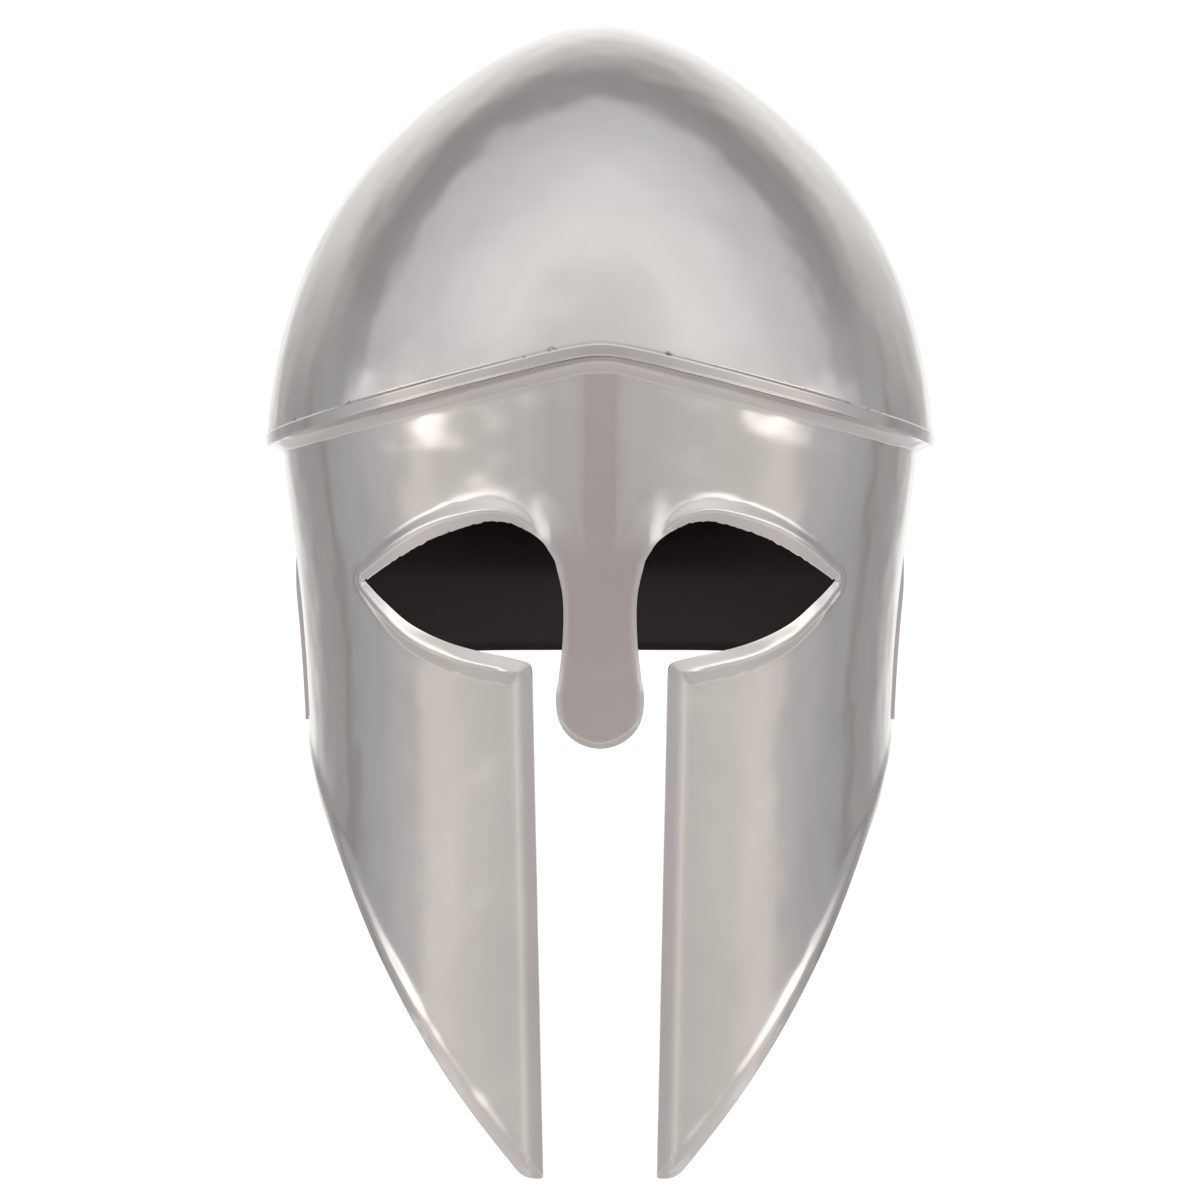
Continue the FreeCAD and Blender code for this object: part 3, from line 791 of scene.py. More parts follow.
def lip_bead(above_lip):
    """How far the bowl's lowest edge stands proud: flat up to a crest, then round, then a groove."""
    over_crest = above_lip - LIP_BEAD_CREST
    flat = np.clip(1.0 + over_crest / LIP_BEAD_BELOW, 0.0, 1.0)
    round_top = np.clip(1.0 - (over_crest / LIP_BEAD_ABOVE) ** 2, 0.0, 1.0) ** LIP_BEAD_POWER
    reach = np.where(over_crest < 0.0, flat, round_top)
    groove = SEAM_DEPTH * np.exp(-((above_lip - SEAM_HEIGHT) / SEAM_HALF_WIDTH) ** 2)
    return LIP_BEAD * reach - groove


def skull_bowl(materials):
    """The bowl as square rings round the crown, which leaves no pole in the mesh."""
    rim_rows = len(BOWL_LOW_ROWS)

    def height_at(angle, row):
        lip = lip_height(angle)
        low = lip + np.interp(row, np.arange(rim_rows), BOWL_LOW_ROWS)
        start = lip + BOWL_LOW_ROWS[-1]
        climb = np.clip((row - rim_rows + 1) / (BOWL_RINGS - rim_rows + 1), 0.0, 1.0)
        return np.where(row < rim_rows - 1, low, start + (CROWN_TOP - start) * sin(90.0 * climb))

    def outer_at(angle, row):
        height = height_at(angle, row)
        return bowl_point(angle, height, lip_bead(height - lip_height(angle)))

    steps = np.arange(-BOWL_RINGS, BOWL_RINGS + 1)
    across, down = np.meshgrid(steps, steps, indexing="ij")
    ring = np.maximum(np.abs(across), np.abs(down))
    share = np.divide(1.0, ring, out=np.zeros(ring.shape), where=ring > 0)
    angle = np.where(np.abs(across) > np.abs(down),
                     np.where(across > 0, 90.0 + 45.0 * down * share, -90.0 - 45.0 * down * share),
                     np.where(down < 0, 45.0 * across * share, 180.0 - 45.0 * across * share))
    row = (BOWL_RINGS - ring).astype(float)
    points = outer_at(angle, row)
    below_top = np.minimum(row, BOWL_RINGS - 0.3)
    turn = outer_at(angle + 0.05, below_top) - outer_at(angle - 0.05, below_top)
    higher, lower = np.minimum(row + 0.2, BOWL_RINGS - 0.02), np.maximum(row - 0.2, 0.0)
    climb = outer_at(angle, higher) - outer_at(angle, lower)
    normals = unit(np.cross(turn, climb))
    normals[ring == 0] = (0.0, 0.0, 1.0)
    near_top = ease((CROWN_SOFT_RINGS - ring) / (0.6 * CROWN_SOFT_RINGS))[..., None]
    averaged = np.stack([blurred(normals[..., axis], 8) for axis in range(3)], axis=-1)
    normals = unit(normals * (1.0 - near_top) + averaged * near_top)
    points, normals = points.reshape(-1, 3), normals.reshape(-1, 3)
    polygons = grid_cells(len(steps), len(steps)).tolist()
    bowl = thick_sheet("skull_bowl_steel", points, normals, polygons, SHEET, materials)
    seam = bowl.data.attributes.new("seam", "FLOAT", "POINT")
    heights = points[:, 2] - lip_height(angle.ravel())
    inner_heights = np.full(len(heights), FAR_FROM_SEAM)
    seam.data.foreach_set("value", np.concatenate([heights, inner_heights]).astype(np.float32))
    return bowl


# ---------------------------------------------------------------- liner

def liner_point(angle, height, inward):
    """Point inward millimetres inside the head band's outer face."""
    point = wall_point(angle, np.minimum(height, WALL_TOP_HEIGHT), SHEET + BAND_TO_WALL + inward)
    point[..., 2] = height
    return point


def crown_point(angle, lean, outward=0.0):
    """Point on the liner's crown: lean 0 is where the tongues spring, 90 the top."""
    spring = liner_point(angle, TONGUE_SPRING, BAND_THICKNESS + LINER_GAP - outward)
    height = TONGUE_SPRING + (TONGUE_RISE + outward) * sin(lean)
    return stacked(spring[..., 0] * cos(lean), spring[..., 1] * cos(lean), height)


def looped_faces(columns, rows, wrap_columns=True):
    """Faces of a grid whose rows close on themselves, and whose columns may."""
    faces = []
    for i in range(columns if wrap_columns else columns - 1):
        here, beyond = i * rows, (i + 1) % columns * rows
        for j in range(rows):
            after = (j + 1) % rows
            faces.append([here + j, beyond + j, beyond + after, here + after])
    return faces


def capped_faces(columns, rows):
    """Faces of a solid bar: a grid whose rows close on themselves, and the bar's two ends."""
    ends = [list(range(rows)), [(columns - 1) * rows + j for j in reversed(range(rows))]]
    return looped_faces(columns, rows, wrap_columns=False) + ends


def strap_section(low, high, thickness, side_count):
    """A strap's cut end as pairs of height and depth: up the outside, over, and down the inside."""
    half = thickness / 2.0
    turns = np.linspace(0.0, 180.0, 7)
    up = np.linspace(low + half, high - half, side_count)
    outside = np.stack([up, np.zeros(side_count)], axis=1)
    over = np.stack([high - half + half * sin(turns), half - half * cos(turns)], axis=1)
    inside_face = np.stack([up[::-1], np.full(side_count, thickness)], axis=1)
    under = np.stack([low + half - half * sin(turns), half + half * cos(turns)], axis=1)
    return np.concatenate([outside, over[1:-1], inside_face, under[1:-1]])


def head_band(material):
    """The leather strap round the head, drawn in a little along its two rows of stitches."""
    angles = np.linspace(-180.0, 180.0, 361)[:-1, None]
    height, depth = strap_section(BAND_BOTTOM, BAND_TOP, BAND_THICKNESS, 44).T
    for row in BAND_STITCH_ROWS:
        dip = STITCH_DIP * np.exp(-((height - row) / STITCH_DIP_HALF_WIDTH) ** 2)
        depth = depth - dip * (depth > BAND_THICKNESS / 2)
    points = liner_point(angles, height[None, :], depth[None, :])
    faces = looped_faces(*points.shape[:2])
    return new_object("head_band", points.reshape(-1, 3), faces, [material])


def tongue_point(index, across, lean, depth):
    """Point of a liner tongue: across is -1 to 1, a lean below 0 is millimetres below its spring."""
    pitch = 360.0 / TONGUE_COUNT
    tilt = np.maximum(lean, 0.0)
    half_angle = (pitch / 2.0 - TONGUE_GAP_ANGLE) * (1.0 - TONGUE_TAPER * tilt / TONGUE_TIP_LEAN)
    point = crown_point(pitch * (index - 0.5) + half_angle * across, tilt)
    point[..., 2] += np.minimum(lean, 0.0)
    facing = straight_out(point) * cos(tilt)[..., None] + sin(tilt)[..., None] * (0.0, 0.0, 1.0)
    return point - facing * depth[..., None]


def liner_tongue(index, material):
    """One leather leaf of the crown, with rounded edges and a hem along each side."""
    below = np.linspace(TONGUE_BOTTOM - TONGUE_SPRING, 0.0, 6)
    leans = np.concatenate([below, np.linspace(2.0, TONGUE_TIP_LEAN, 34)])[:, None]
    ends = tongue_point(index, np.array([[-1.0, 1.0]]), leans, np.zeros((1, 1)))
    half_width = np.linalg.norm(ends[:, 1] - ends[:, 0], axis=1)[:, None] / 2.0
    half = TONGUE_THICKNESS / 2.0
    flat = np.linspace(-1.0, 1.0, 27)
    turns = np.linspace(0.0, 180.0, 7)[1:-1]
    side = np.ones(len(turns))
    share = np.concatenate([flat, side, -flat, -side])
    bulge = np.concatenate([0.0 * flat, half * sin(turns), 0.0 * flat, -half * sin(turns)])
    depth = np.concatenate([0.0 * flat, half - half * cos(turns), 0.0 * flat + TONGUE_THICKNESS,
                            half + half * cos(turns)])
    across = share * (1.0 - half / half_width) + bulge / half_width
    hem = np.exp(-(((1.0 - np.abs(across)) * half_width - HEM) / STITCH_DIP_HALF_WIDTH) ** 2)
    depth = depth - STITCH_DIP * hem * (depth > half)
    points = tongue_point(index, across, leans, depth)
    faces = flipped(capped_faces(*points.shape[:2]))
    return new_object("tongue_%d" % index, points.reshape(-1, 3), faces, [material])


def crown_patch(material):
    """The round leather patch over the tongues' tips."""
    leans = np.linspace(CROWN_DISC_LEAN, 90.0, 16)[:-1]
    angles = np.linspace(-180.0, 180.0, 97)[:-1]
    half = CROWN_DISC_THICKNESS / 2.0
    turns = np.linspace(0.0, 180.0, 7)[1:-1]
    rows = [(lean, LINER_GAP + CROWN_DISC_THICKNESS) for lean in leans[::-1]]
    rows += [(CROWN_DISC_LEAN - 0.55 * sin(t), LINER_GAP + half + half * cos(t)) for t in turns]
    rows += [(lean, LINER_GAP) for lean in leans]
    grid = np.array([crown_point(angles, lean, outward) for lean, outward in rows])
    faces = capped_faces(len(rows), len(angles))
    return new_object("crown_patch", grid.reshape(-1, 3), faces, [material])


def stitch_shape():
    """Corners and faces of one stitch: a small lens, 1 long, 1 wide and 1 high."""
    rings, sides = 5, 6
    verts = []
    for i in range(rings):
        along = -0.5 + i / (rings - 1)
        girth = 0.5 * math.sqrt(max(1.0 - (2.0 * along) ** 2, 0.02))
        for j in range(sides):
            turn = 2.0 * math.pi * j / sides
            verts.append((along, girth * math.cos(turn), girth * math.sin(turn)))
    return np.array(verts), flipped(capped_faces(rings, sides))


def stitches(name, lines, material):
    """Running stitches along lines, each a list of points and the way that its surface faces."""
    shape, shape_faces = stitch_shape()
    draws = np.random.default_rng(7)
    verts, faces = [], []
    for points, facing in lines:
        along = lengths_along(points)
        for middle in np.arange(STITCH_PITCH / 2, along[-1], STITCH_PITCH):
            ends = middle + np.array([-0.5, 0.5]) * STITCH_LENGTH * draws.uniform(0.9, 1.08)
            start, end = (point_at(points, along, at) for at in ends)
            length = end - start
            normal = unit(point_at(facing, along, middle))
            side = unit(np.cross(normal, length)) * STITCH_WIDTH
            skew = side * draws.uniform(-0.25, 0.25)
            centre = (start + end) / 2.0 + normal * STITCH_LIFT
            first = len(verts) * len(shape)
            verts.append(centre + shape[:, :1] * (length + skew) + shape[:, 1:2] * side
                         + shape[:, 2:] * normal * STITCH_HEIGHT)
            faces += [[first + v for v in face] for face in shape_faces]
    return new_object(name, np.concatenate(verts), faces, [material])


def stitch_lines():
    """Every sewn line that shows inside: two round the band, one up each side of each tongue."""
    lines = []
    angles = np.linspace(-180.0, 180.0, 361)
    for row in BAND_STITCH_ROWS:
        face = BAND_THICKNESS if row < TONGUE_BOTTOM else BAND_THICKNESS + LINER_GAP + TONGUE_THICKNESS
        points = liner_point(angles, np.full(361, row), face - STITCH_DIP)
        lines.append((points, -straight_out(points)))
    leans = np.linspace(3.0, TONGUE_TIP_LEAN - 2.0, 30)
    for index in range(1, TONGUE_COUNT + 1):
        depth = np.full(leans.shape, TONGUE_THICKNESS - STITCH_DIP)
        middle = tongue_point(index, 0.0 * leans, leans, depth)
        for side in (-1.0, 1.0):
            edge = tongue_point(index, side + 0.0 * leans, leans, depth)
            half_width = np.linalg.norm(edge - middle, axis=1)
            across = side * (1.0 - HEM / half_width)
            points = tongue_point(index, across, leans, depth)
            lines.append((points, points - tongue_point(index, across, leans, depth - 1.0)))
    return lines


# ---------------------------------------------------------------- pads

def pad_depth_scale(points, depth):
    """Each point's place against the surface depth millimetres inside the band: 1 is on it."""
    height = np.minimum(points[:, 2], WALL_TOP_HEIGHT)
    inward = SHEET + BAND_TO_WALL + depth
    half_width = wall_half_width(height) - inward
    half_length = wall_half_length(bearing(points), height) - inward
    return np.hypot(points[:, 0] / half_width, points[:, 1] / half_length)


def pad_blank(name, first_angle, last_angle):
    """The pad before it is stuffed: a lens a little smaller than the finished pad."""
    back = BAND_THICKNESS + LINER_GAP
    middle, half_angle = (first_angle + last_angle) / 2.0, (last_angle - first_angle) / 2.0
    shrink = 1.0 - PAD_INSET / (np.radians(half_angle) * wall_half_width(0.0))
    across = np.linspace(-1.0, 1.0, 61)
    up = np.linspace(-1.0, 1.0, 25)
    angle = (middle + half_angle * shrink * across)[:, None]
    height = ((PAD_TOP + PAD_BOTTOM) / 2.0 + ((PAD_TOP - PAD_BOTTOM) / 2.0 - PAD_INSET) * up)[None, :]
    crown = (1.0 - across[:, None] ** 4) * (1.0 - up[None, :] ** 4)
    swell = PAD_EDGE_THICKNESS + (PAD_THICKNESS - PAD_INSET - PAD_EDGE_THICKNESS) * crown
    outer = liner_point(angle, height, back + 0.0 * swell)
    inner = liner_point(angle, height, back + swell)
    index = np.arange(across.size * up.size).reshape(across.size, up.size)
    count = index.size
    cells = grid_cells(across.size, up.size)
    border = np.concatenate([index[:-1, 0], index[-1, :-1], index[:0:-1, -1], index[0, :0:-1]]).tolist()
    faces = cells.tolist() + (cells[:, ::-1] + count).tolist()
    faces += [[b, a, a + count, b + count] for a, b in zip(border, border[1:] + border[:1])]
    return new_object(name, np.concatenate([outer.reshape(-1, 3), inner.reshape(-1, 3)]), faces, [])


def evaluated_mesh(obj):
    depsgraph = bpy.context.evaluated_depsgraph_get()
    return bpy.data.meshes.new_from_object(obj.evaluated_get(depsgraph))


def mesh_points(mesh):
    flat = np.empty(len(mesh.vertices) * 3, np.float32)
    mesh.vertices.foreach_get("co", flat)
    return flat.reshape(-1, 3).astype(float) / MM


def set_mesh_points(mesh, points):
    mesh.vertices.foreach_set("co", (points * MM).astype(np.float32).ravel())
    mesh.update()


def settled(obj, modifier_name):
    """Gives the object the mesh that its modifiers make, and takes the modifier off."""
    mesh = evaluated_mesh(obj)
    obj.modifiers.remove(obj.modifiers[modifier_name])
    obj.data = mesh


def stuffed(pads):
    """Blows all the pads up together as cloth, and keeps each point within a short way of its start."""
    starts = []
    for pad in pads:
        remesh = pad.modifiers.new("remesh", "REMESH")
        remesh.mode = "VOXEL"
        remesh.voxel_size = PAD_VOXEL * MM
        settled(pad, "remesh")
        starts.append(mesh_points(pad.data))
        cloth = pad.modifiers.new("cloth", "CLOTH")
        cloth.settings.mass = PAD_CLOTH_MASS
        cloth.settings.use_pressure = True
        cloth.settings.uniform_pressure_force = PAD_PRESSURE
        cloth.settings.effector_weights.gravity = 0.0
    for step in range(1, PAD_CLOTH_STEPS + 1):
        bpy.context.scene.frame_set(step)
    for pad, start in zip(pads, starts):
        settled(pad, "cloth")
        move = mesh_points(pad.data) - start
        length = np.linalg.norm(move, axis=1, keepdims=True)
        move = move * np.minimum(1.0, PAD_MOVE_LIMIT / np.maximum(length, 1e-9))
        set_mesh_points(pad.data, start + move)
    bpy.context.scene.frame_set(1)


def pad_piping(first_angle, last_angle):
    """The cord sewn round a pad's edge, as corners and faces of a thin tube."""
    half_angle, middle = (last_angle - first_angle) / 2.0, (first_angle + last_angle) / 2.0
    half_length = np.radians(half_angle) * wall_half_width(0.0) - PIPING_RADIUS
    half_height = (PAD_TOP - PAD_BOTTOM) / 2.0 - PIPING_RADIUS
    turns = np.linspace(0.0, 90.0, 9)
    loop = []
    for quarter, (x, z) in enumerate(((1, 1), (-1, 1), (-1, -1), (1, -1))):
        turn = turns + 90.0 * quarter
        corner = np.stack([x * (half_length - PAD_CORNER) + PAD_CORNER * cos(turn),
                           z * (half_height - PAD_CORNER) + PAD_CORNER * sin(turn)], axis=1)
        loop.append(corner)
    loop = np.concatenate(loop)
    loop = np.concatenate([loop, loop[:1]])
    along = lengths_along(loop)
    at = np.linspace(0.0, along[-1], 141)[:-1]
    x, z = point_at(loop, along, at)
    angle = middle + half_angle * x / (half_length + PIPING_RADIUS)
    height = z + (PAD_TOP + PAD_BOTTOM) / 2.0
    centre = liner_point(angle, height, BAND_THICKNESS + LINER_GAP + PIPING_RADIUS + 0.1)
    inward = -straight_out(centre)
    run = unit(np.roll(centre, -1, axis=0) - np.roll(centre, 1, axis=0))
    side = unit(np.cross(inward, run))
    ring = np.linspace(0.0, 360.0, 9)[:-1]
    tube = (centre[:, None] + PIPING_RADIUS * (inward[:, None] * cos(ring)[None, :, None]
                                               + side[:, None] * sin(ring)[None, :, None]))
    return tube.reshape(-1, 3), looped_faces(len(centre), len(ring))


def finished_pad(pad, first_angle, last_angle, material):
    """Smooths a stuffed pad, lays it on the band, presses in its sewn channels, adds its piping."""
    subdivision = pad.modifiers.new("smooth", "SUBSURF")
    subdivision.levels = 1
    settled(pad, "smooth")
    points = mesh_points(pad.data)
    outward_scale = pad_depth_scale(points, BAND_THICKNESS + LINER_GAP)
    over = np.maximum(outward_scale, 1.0)[:, None]
    points[:, :2] /= over
    points[:, 2] = np.clip(points[:, 2], PAD_BOTTOM, PAD_TOP)
    angle = bearing(points)
    angle = np.where(angle < first_angle - 20.0, angle + 360.0, angle)
    angle = np.where(angle > last_angle + 20.0, angle - 360.0, angle)
    cells = max(round((last_angle - first_angle) / PAD_CHANNEL_PITCH), 2)
    place = (angle - first_angle) / (last_angle - first_angle) * cells
    off_channel = np.abs(place - np.clip(np.round(place), 1, cells - 1))
    off_channel = off_channel * np.radians((last_angle - first_angle) / cells) * wall_half_width(0.0)
    front = ease((1.0 - pad_depth_scale(points, BAND_THICKNESS + LINER_GAP)) / PAD_BACK_SHARE)
    press = PAD_CHANNEL_DEPTH * np.exp(-(off_channel / PAD_CHANNEL_HALF_WIDTH) ** 2)
    press = press + PAD_PUCKER_DEPTH * np.exp(-(off_channel / PAD_PUCKER_HALF_WIDTH) ** 2)
    points += straight_out(points) * (press * front)[:, None]
    pad_faces = [list(p.vertices) for p in pad.data.polygons]
    tube, tube_faces = pad_piping(first_angle, last_angle)
    first = len(points)
    faces = pad_faces + [[first + v for v in face] for face in tube_faces]
    name = pad.name
    bpy.data.objects.remove(pad)
    return new_object(name, np.concatenate([points, tube]), faces, [material])


# ---------------------------------------------------------------- materials

class Look:
    """The shader nodes of one material, or of the world, and short ways to add to them."""

    def __init__(self, owner, space="Object"):
        owner.use_nodes = True
        self.owner = owner
        self.nodes = owner.node_tree.nodes
        self.links = owner.node_tree.links
        self.place = self.nodes.new("ShaderNodeTexCoord").outputs[space]

    def fill(self, node, inputs):
        """Links each named input to another node's output, or sets it to a value."""
        for name, value in inputs.items():
            socket = node.inputs[name]
            if isinstance(value, bpy.types.NodeSocket):
                self.links.new(value, socket)
            elif socket.type == "RGBA":
                socket.default_value = (*value, 1.0)
            else:
                socket.default_value = value

    def add(self, kind, inputs, **settings):
        """A new node with its settings made and its inputs filled."""
        node = self.nodes.new("ShaderNode" + kind)
        for name, value in settings.items():
            setattr(node, name, value)
        self.fill(node, inputs)
        return node

    def noise(self, scale, detail=3.0, stretch=None):
        """Noise in the object's own space, stretched along an axis if asked."""
        place = self.place
        if stretch:
            place = self.add("Mapping", {"Vector": place, "Scale": stretch}).outputs["Vector"]
        node = self.add("TexNoise", {"Vector": place, "Scale": scale, "Detail": detail})
        return node.outputs["Fac"]

    def ramp(self, source, stops):
        """Colour ramp with stops as pairs of place and grey or colour."""
        node = self.add("ValToRGB", {"Fac": source})
        while len(node.color_ramp.elements) < len(stops):
            node.color_ramp.elements.new(0.5)
        for element, (place, colour) in zip(node.color_ramp.elements, stops):
            element.position = place
            element.color = (colour,) * 3 + (1.0,) if isinstance(colour, float) else (*colour, 1.0)
        return node.outputs["Color"]

    def bump(self, height, distance, strength, under=None):
        """Normals tilted by a pattern of heights, on top of other bumps where under is given."""
        inputs = {"Height": height, "Distance": distance, "Strength": strength}
        if under is not None:
            inputs["Normal"] = under
        return self.add("Bump", inputs).outputs["Normal"]

    def mixed(self, share, first, second):
        """The first colour where the share is 0 and the second where it is 1."""
        inputs = {"Factor": share, "A": first, "B": second}
        return self.add("Mix", inputs, data_type="RGBA").outputs["Result"]

    def maths(self, operation, *values):
        return self.add("Math", dict(enumerate(values)), operation=operation).outputs["Value"]

    def finished(self, inputs):
        """Fills the material's own shader and returns the material."""
        self.fill(self.nodes["Principled BSDF"], inputs)
        return self.owner


def polished_steel(name, with_seam=False):
    """Bright polished sheet: faint hammer waves, fine rubbing marks and slight cloudiness."""
    look = Look(bpy.data.materials.new(name))
    clouds = look.noise(16.0, 4.0)
    tone = look.ramp(clouds, [(0.3, (0.665, 0.645, 0.628)), (0.7, (0.725, 0.705, 0.688))])
    rubbed = look.noise(90.0, 6.0, (1.0, 1.0, 0.08))
    waves = look.noise(26.0, 2.0)
    normal = look.bump(waves, 0.003, 0.5)
    scratches = look.noise(900.0, 3.0, (1.0, 1.0, 0.05))
    normal = look.bump(scratches, 0.00005, 0.12, normal)
    if with_seam:
        # Dark pits, and painted shade along the seam's groove
        tone, normal = seam_pits_and_groove_shade(look, tone, normal)
    return look.finished({
        "Base Color": tone,
        "Roughness": look.ramp(rubbed, [(0.3, 0.09), (0.7, 0.16)]),
        "Normal": normal,
        "Metallic": 1.0,
    })


def seam_pits_and_groove_shade(look, tone, normal):
    """Adds small dark pits and a broken line of painted shade along the weld seam's groove."""
    height = look.add("Attribute", {}, attribute_name="seam").outputs["Fac"]
    off_seam = look.maths("ABSOLUTE", look.maths("SUBTRACT", height, SEAM_HEIGHT))
    near = look.maths("MAXIMUM", look.maths("SUBTRACT", 1.0, off_seam), 0.0)
    spots = look.ramp(look.noise(330.0, 2.0), [(0.63, 0.0), (0.72, 0.75)])
    pits = look.maths("MULTIPLY", spots, near)
    # Painted shade: a broken dark line in the crease along the seam
    shade_breaks = look.ramp(look.noise(45.0, 4.0), [(0.42, 0.02), (0.62, 0.35)])
    groove_shade = look.maths("MULTIPLY", look.maths("POWER", near, 6.0), shade_breaks)
    dirt_and_shade = look.maths("MINIMUM", look.maths("ADD", pits, groove_shade), 1.0)
    tone = look.mixed(dirt_and_shade, tone, (0.10, 0.09, 0.085))
    normal = look.bump(look.maths("SUBTRACT", 1.0, pits), 0.0004, 0.8, normal)
    return tone, normal


def blackened_inside():
    """Thin matt black paint inside the steel, slightly uneven."""
    look = Look(bpy.data.materials.new("blackened_inside"))
    patches = look.noise(22.0, 5.0)
    grain = look.noise(600.0, 4.0)
    return look.finished({
        "Base Color": look.ramp(patches, [(0.3, (0.042, 0.036, 0.033)), (0.75, (0.060, 0.052, 0.048))]),
        "Roughness": look.ramp(patches, [(0.3, 0.62), (0.7, 0.8)]),
        "Normal": look.bump(grain, 0.0002, 0.3),
        "Specular IOR Level": 0.25,
    })


def leather(name, dark, light, grain_size, shine):
    """Tanned hide: small cells with creases between them, darker where it is worn and handled."""
    look = Look(bpy.data.materials.new(name))
    wear = look.noise(34.0, 5.0)
    tone = look.ramp(wear, [(0.32, dark), (0.7, light)])
    cells = look.add("TexVoronoi", {"Vector": look.place, "Scale": 1.0 / (grain_size * MM)},
                     feature="DISTANCE_TO_EDGE")
    crease = look.ramp(cells.outputs["Distance"], [(0.0, 0.0), (0.22, 1.0)])
    folds = look.noise(120.0, 4.0)
    return look.finished({
        "Base Color": look.mixed(crease, tuple(0.6 * c for c in dark), tone),
        "Roughness": look.ramp(wear, [(0.3, shine), (0.75, shine + 0.18)]),
        "Normal": look.bump(crease, 0.00025, 0.6, look.bump(folds, 0.0006, 0.35)),
        "Specular IOR Level": 0.4,
    })


def waxed_thread():
    """Twisted linen thread, waxed and a little dirty."""
    look = Look(bpy.data.materials.new("waxed_thread"))
    dirt_and_shade = look.noise(60.0, 4.0)
    fibres = look.noise(2600.0, 2.0)
    return look.finished({
        "Base Color": look.ramp(dirt_and_shade, [(0.3, (0.20, 0.15, 0.10)), (0.7, (0.36, 0.29, 0.20))]),
        "Normal": look.bump(fibres, 0.0001, 0.6),
        "Roughness": 0.6,
        "Sheen Weight": 0.2,
    })


def weld_steel():
    """A rough weld bead: ripples, scale and some heat colour."""
    look = Look(bpy.data.materials.new("weld_steel"))
    scale = look.noise(180.0, 5.0)
    tones = [(0.35, (0.06, 0.05, 0.045)), (0.6, (0.26, 0.24, 0.22)), (0.8, (0.42, 0.39, 0.36))]
    ripples = look.noise(700.0, 3.0)
    return look.finished({
        "Base Color": look.ramp(scale, tones),
        "Roughness": look.ramp(scale, [(0.3, 0.7), (0.7, 0.38)]),
        "Normal": look.bump(scale, 0.0006, 0.6, look.bump(ripples, 0.0005, 0.8)),
        "Metallic": 0.8,
    })


def rivet_steel():
    """Polished rivet steel with fine turning marks, some duller than others."""
    look = Look(bpy.data.materials.new("rivet_steel"))
    marks = look.noise(420.0, 5.0)
    return look.finished({
        "Base Color": look.ramp(marks, [(0.3, (0.52, 0.50, 0.48)), (0.7, (0.68, 0.67, 0.65))]),
        "Roughness": look.ramp(marks, [(0.3, 0.34), (0.7, 0.2)]),
        "Normal": look.bump(marks, 0.0002, 0.25),
        "Metallic": 1.0,
    })


# ---------------------------------------------------------------- light, floor and camera

def tent_colour(look, share, tones):
    """The tent's colour, where share goes from straight in front, at 0, to straight behind, at 1."""
    return look.ramp(share, [(angle / 180.0, tuple(colour)) for angle, *colour in tones])


def studio_world():
    """A light tent round the helmet, brighter high up, with a long low strip light."""
    world = bpy.data.worlds.new("studio")
    bpy.context.scene.world = world
    world.use_nodes = True
    world.node_tree.nodes.clear()
    look = Look(world, "Generated")
    direction = look.add("SeparateXYZ", {"Vector": look.place})
    upward = direction.outputs["Z"]
    forward = look.maths("MULTIPLY", direction.outputs["Y"], -1.0)
    share = look.maths("DIVIDE", look.maths("ARCCOSINE", forward), math.pi)
    level, high = (tent_colour(look, share, tones) for tones in (LEVEL_TONES, HIGH_TONES))
    rise = look.maths("MULTIPLY_ADD", upward, HIGH_TONES_GAIN, HIGH_TONES_START)
    rise = look.maths("MINIMUM", look.maths("MAXIMUM", rise, 0.0), 1.0)
    strip_height = look.ramp(upward, [(0.05, 0.0), (0.10, 1.0), (0.17, 1.0), (0.22, 0.0)])
    strip_length = look.ramp(share, [(0.13, 0.0), (0.26, 1.0), (0.52, 1.0), (0.63, 0.0)])
    strip = look.maths("MULTIPLY", strip_height, strip_length)
    light = look.add("Background", {
        "Color": look.mixed(rise, level, high),
        "Strength": look.maths("MULTIPLY_ADD", strip, STRIP_GAIN, 1.0),
    })
    white = look.add("Background", {"Color": (1.0, 1.0, 1.0), "Strength": BACKDROP_STRENGTH})
    shown_light = look.add("MixShader", {
        "Fac": look.add("LightPath", {}).outputs["Is Camera Ray"],
        1: light.outputs["Background"],
        2: white.outputs["Background"],
    })
    look.add("OutputWorld", {"Surface": shown_light.outputs["Shader"]})


def pale_floor():
    """A round pale floor well below the helmet, with uneven light painted on, whitening towards its
    edge.
    """
    look = Look(bpy.data.materials.new("pale_floor"))
    length = look.add("VectorMath", {0: look.place}, operation="LENGTH").outputs["Value"]
    share = look.maths("DIVIDE", length, FLOOR_RADIUS)
    depth = look.add("SeparateXYZ", {"Vector": look.place}).outputs["Y"]
    depth = look.maths("DIVIDE", depth, look.maths("ADD", length, 1.0))
    # Painted light: the floor is lighter and darker by direction round the helmet
    tone = look.ramp(look.maths("MULTIPLY_ADD", depth, 0.5, 0.5), FLOOR_PAINTED_LIGHT)
    edge = look.ramp(share, [(0.75, 0.0), (1.0, 1.0)])
    material = look.finished({
        "Base Color": look.mixed(edge, tone, (0.96, 0.96, 0.96)),
        # Painted light: a faint glow over the floor, stronger towards its edge
        "Emission Color": look.ramp(share, [(0.8, 0.03), (1.0, 0.4)]),
        "Emission Strength": 1.0,
        "Roughness": 0.9,
    })
    mesh = bpy.data.meshes.new("floor")
    turns = [2.0 * math.pi * i / FLOOR_SIDES for i in range(FLOOR_SIDES)]
    rim = [(FLOOR_RADIUS * math.cos(turn), FLOOR_RADIUS * math.sin(turn), 0.0) for turn in turns]
    mesh.from_pydata(rim, [], [list(range(FLOOR_SIDES))])
    mesh.materials.append(material)
    floor = bpy.data.objects.new("floor", mesh)
    floor.location.z = FLOOR_HEIGHT
    bpy.context.scene.collection.objects.link(floor)


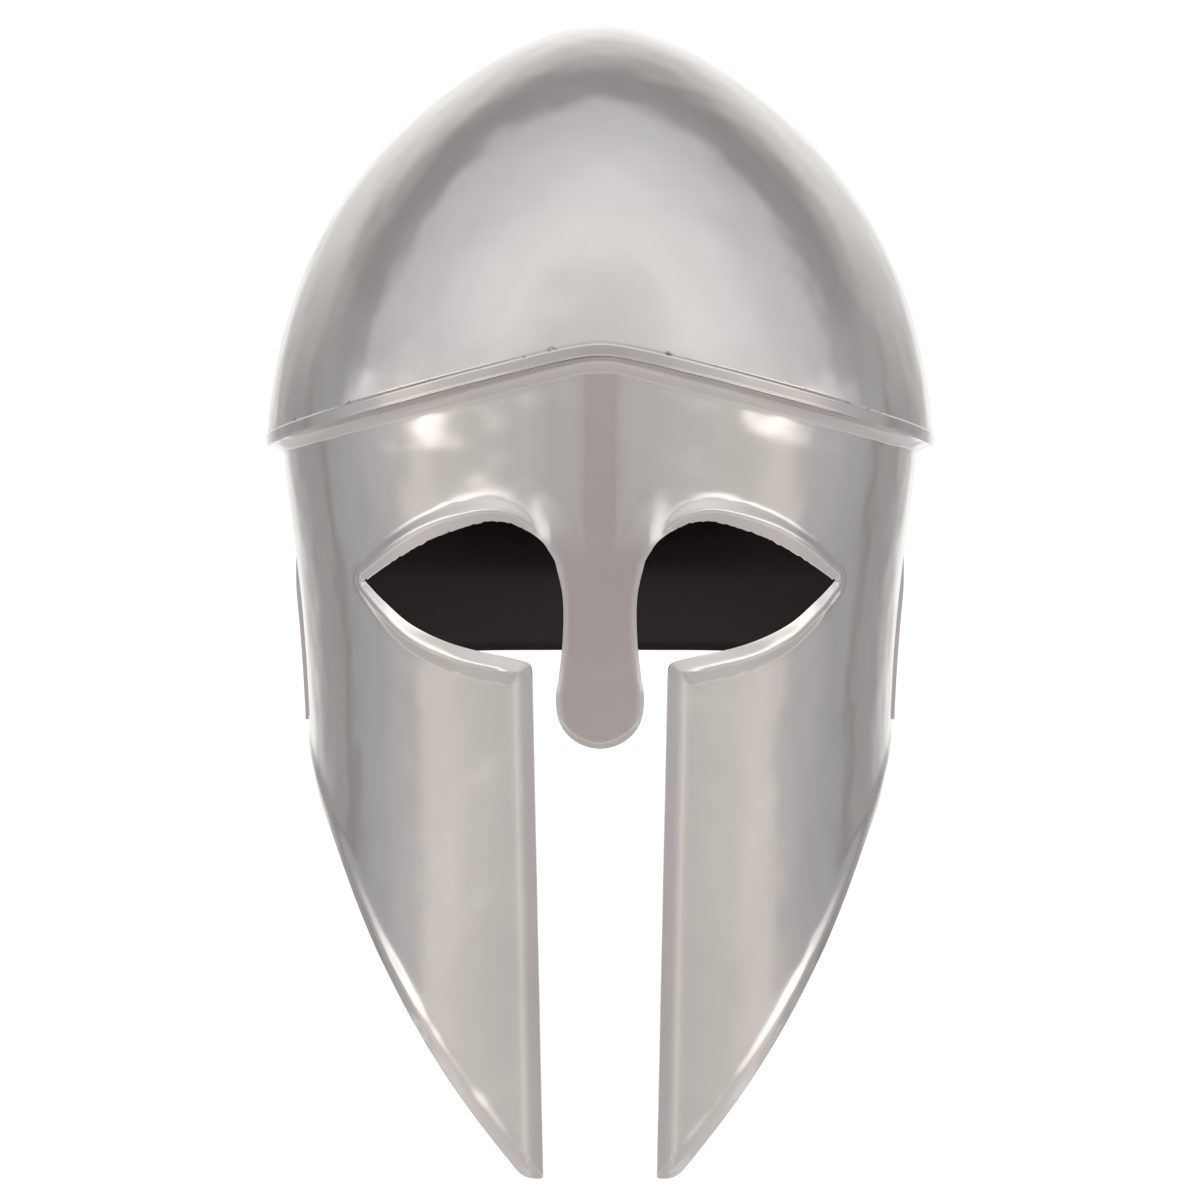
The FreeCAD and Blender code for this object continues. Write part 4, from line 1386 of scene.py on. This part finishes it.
def front_camera():
    """Straight from the front at nose height, as far off as a product photographer stands."""
    data = bpy.data.cameras.new("camera")
    data.lens = data.sensor_width * CAMERA_DISTANCE / VIEW_WIDTH
    camera = bpy.data.objects.new("camera", data)
    bpy.context.scene.collection.objects.link(camera)
    camera.location = (0.0, -CAMERA_DISTANCE, CAMERA_HEIGHT)
    aim = Vector((0.0, 0.0, CAMERA_AIM_HEIGHT)) - camera.location
    camera.rotation_euler = aim.to_track_quat("-Z", "Y").to_euler()
    bpy.context.scene.camera = camera


# ---------------------------------------------------------------- build

def repainted(node, material):
    """Gives a CAD piece that keeps its own shape a finished material."""
    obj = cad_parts[node]
    obj.data.materials.clear()
    obj.data.materials.append(material)


def build_steel():
    steel, inside = polished_steel("polished_steel"), blackened_inside()
    bowl_steel = polished_steel("polished_steel_with_seam", True)
    shown(skull_bowl([bowl_steel, inside]), "polished_steel", "skull_bowl")
    shown(face_plate([steel, inside]), "polished_steel", "face_plate")
    shown(neck_guard([steel, inside]), "polished_steel", "neck_guard")
    weld, rivet = weld_steel(), rivet_steel()
    repainted("rim_weld", weld)
    repainted("side_welds", weld)
    repainted("liner_rivets", rivet)
    repainted("rivet_washers", rivet)


def build_liner():
    band = leather("band_leather", (0.060, 0.044, 0.034), (0.108, 0.080, 0.060), 1.5, 0.5)
    hide = leather("tongue_leather", (0.086, 0.060, 0.043), (0.158, 0.112, 0.080), 1.9, 0.58)
    shown(head_band(band), "band_leather", "liner_band")
    shown(crown_patch(hide), "tongue_leather", "crown_disc")
    for index in range(1, TONGUE_COUNT + 1):
        shown(liner_tongue(index, hide), "tongue_leather", "liner_tongue_%d" % index)
    shown(stitches("liner_stitches", stitch_lines(), waxed_thread()), "waxed_thread")


def build_pads():
    soft = leather("pad_leather", (0.050, 0.039, 0.033), (0.094, 0.073, 0.059), 1.2, 0.48)
    blanks = {node: pad_blank("stuffed_" + node, *angles) for node, angles in PAD_ANGLES.items()}
    stuffed(list(blanks.values()))
    for node, blank in blanks.items():
        pad = shown(finished_pad(blank, *PAD_ANGLES[node], soft), "pad_leather", node)


front_camera()
studio_world()
pale_floor()
build_steel()
build_liner()
build_pads()

bpy.context.scene.view_settings.view_transform = "Standard"
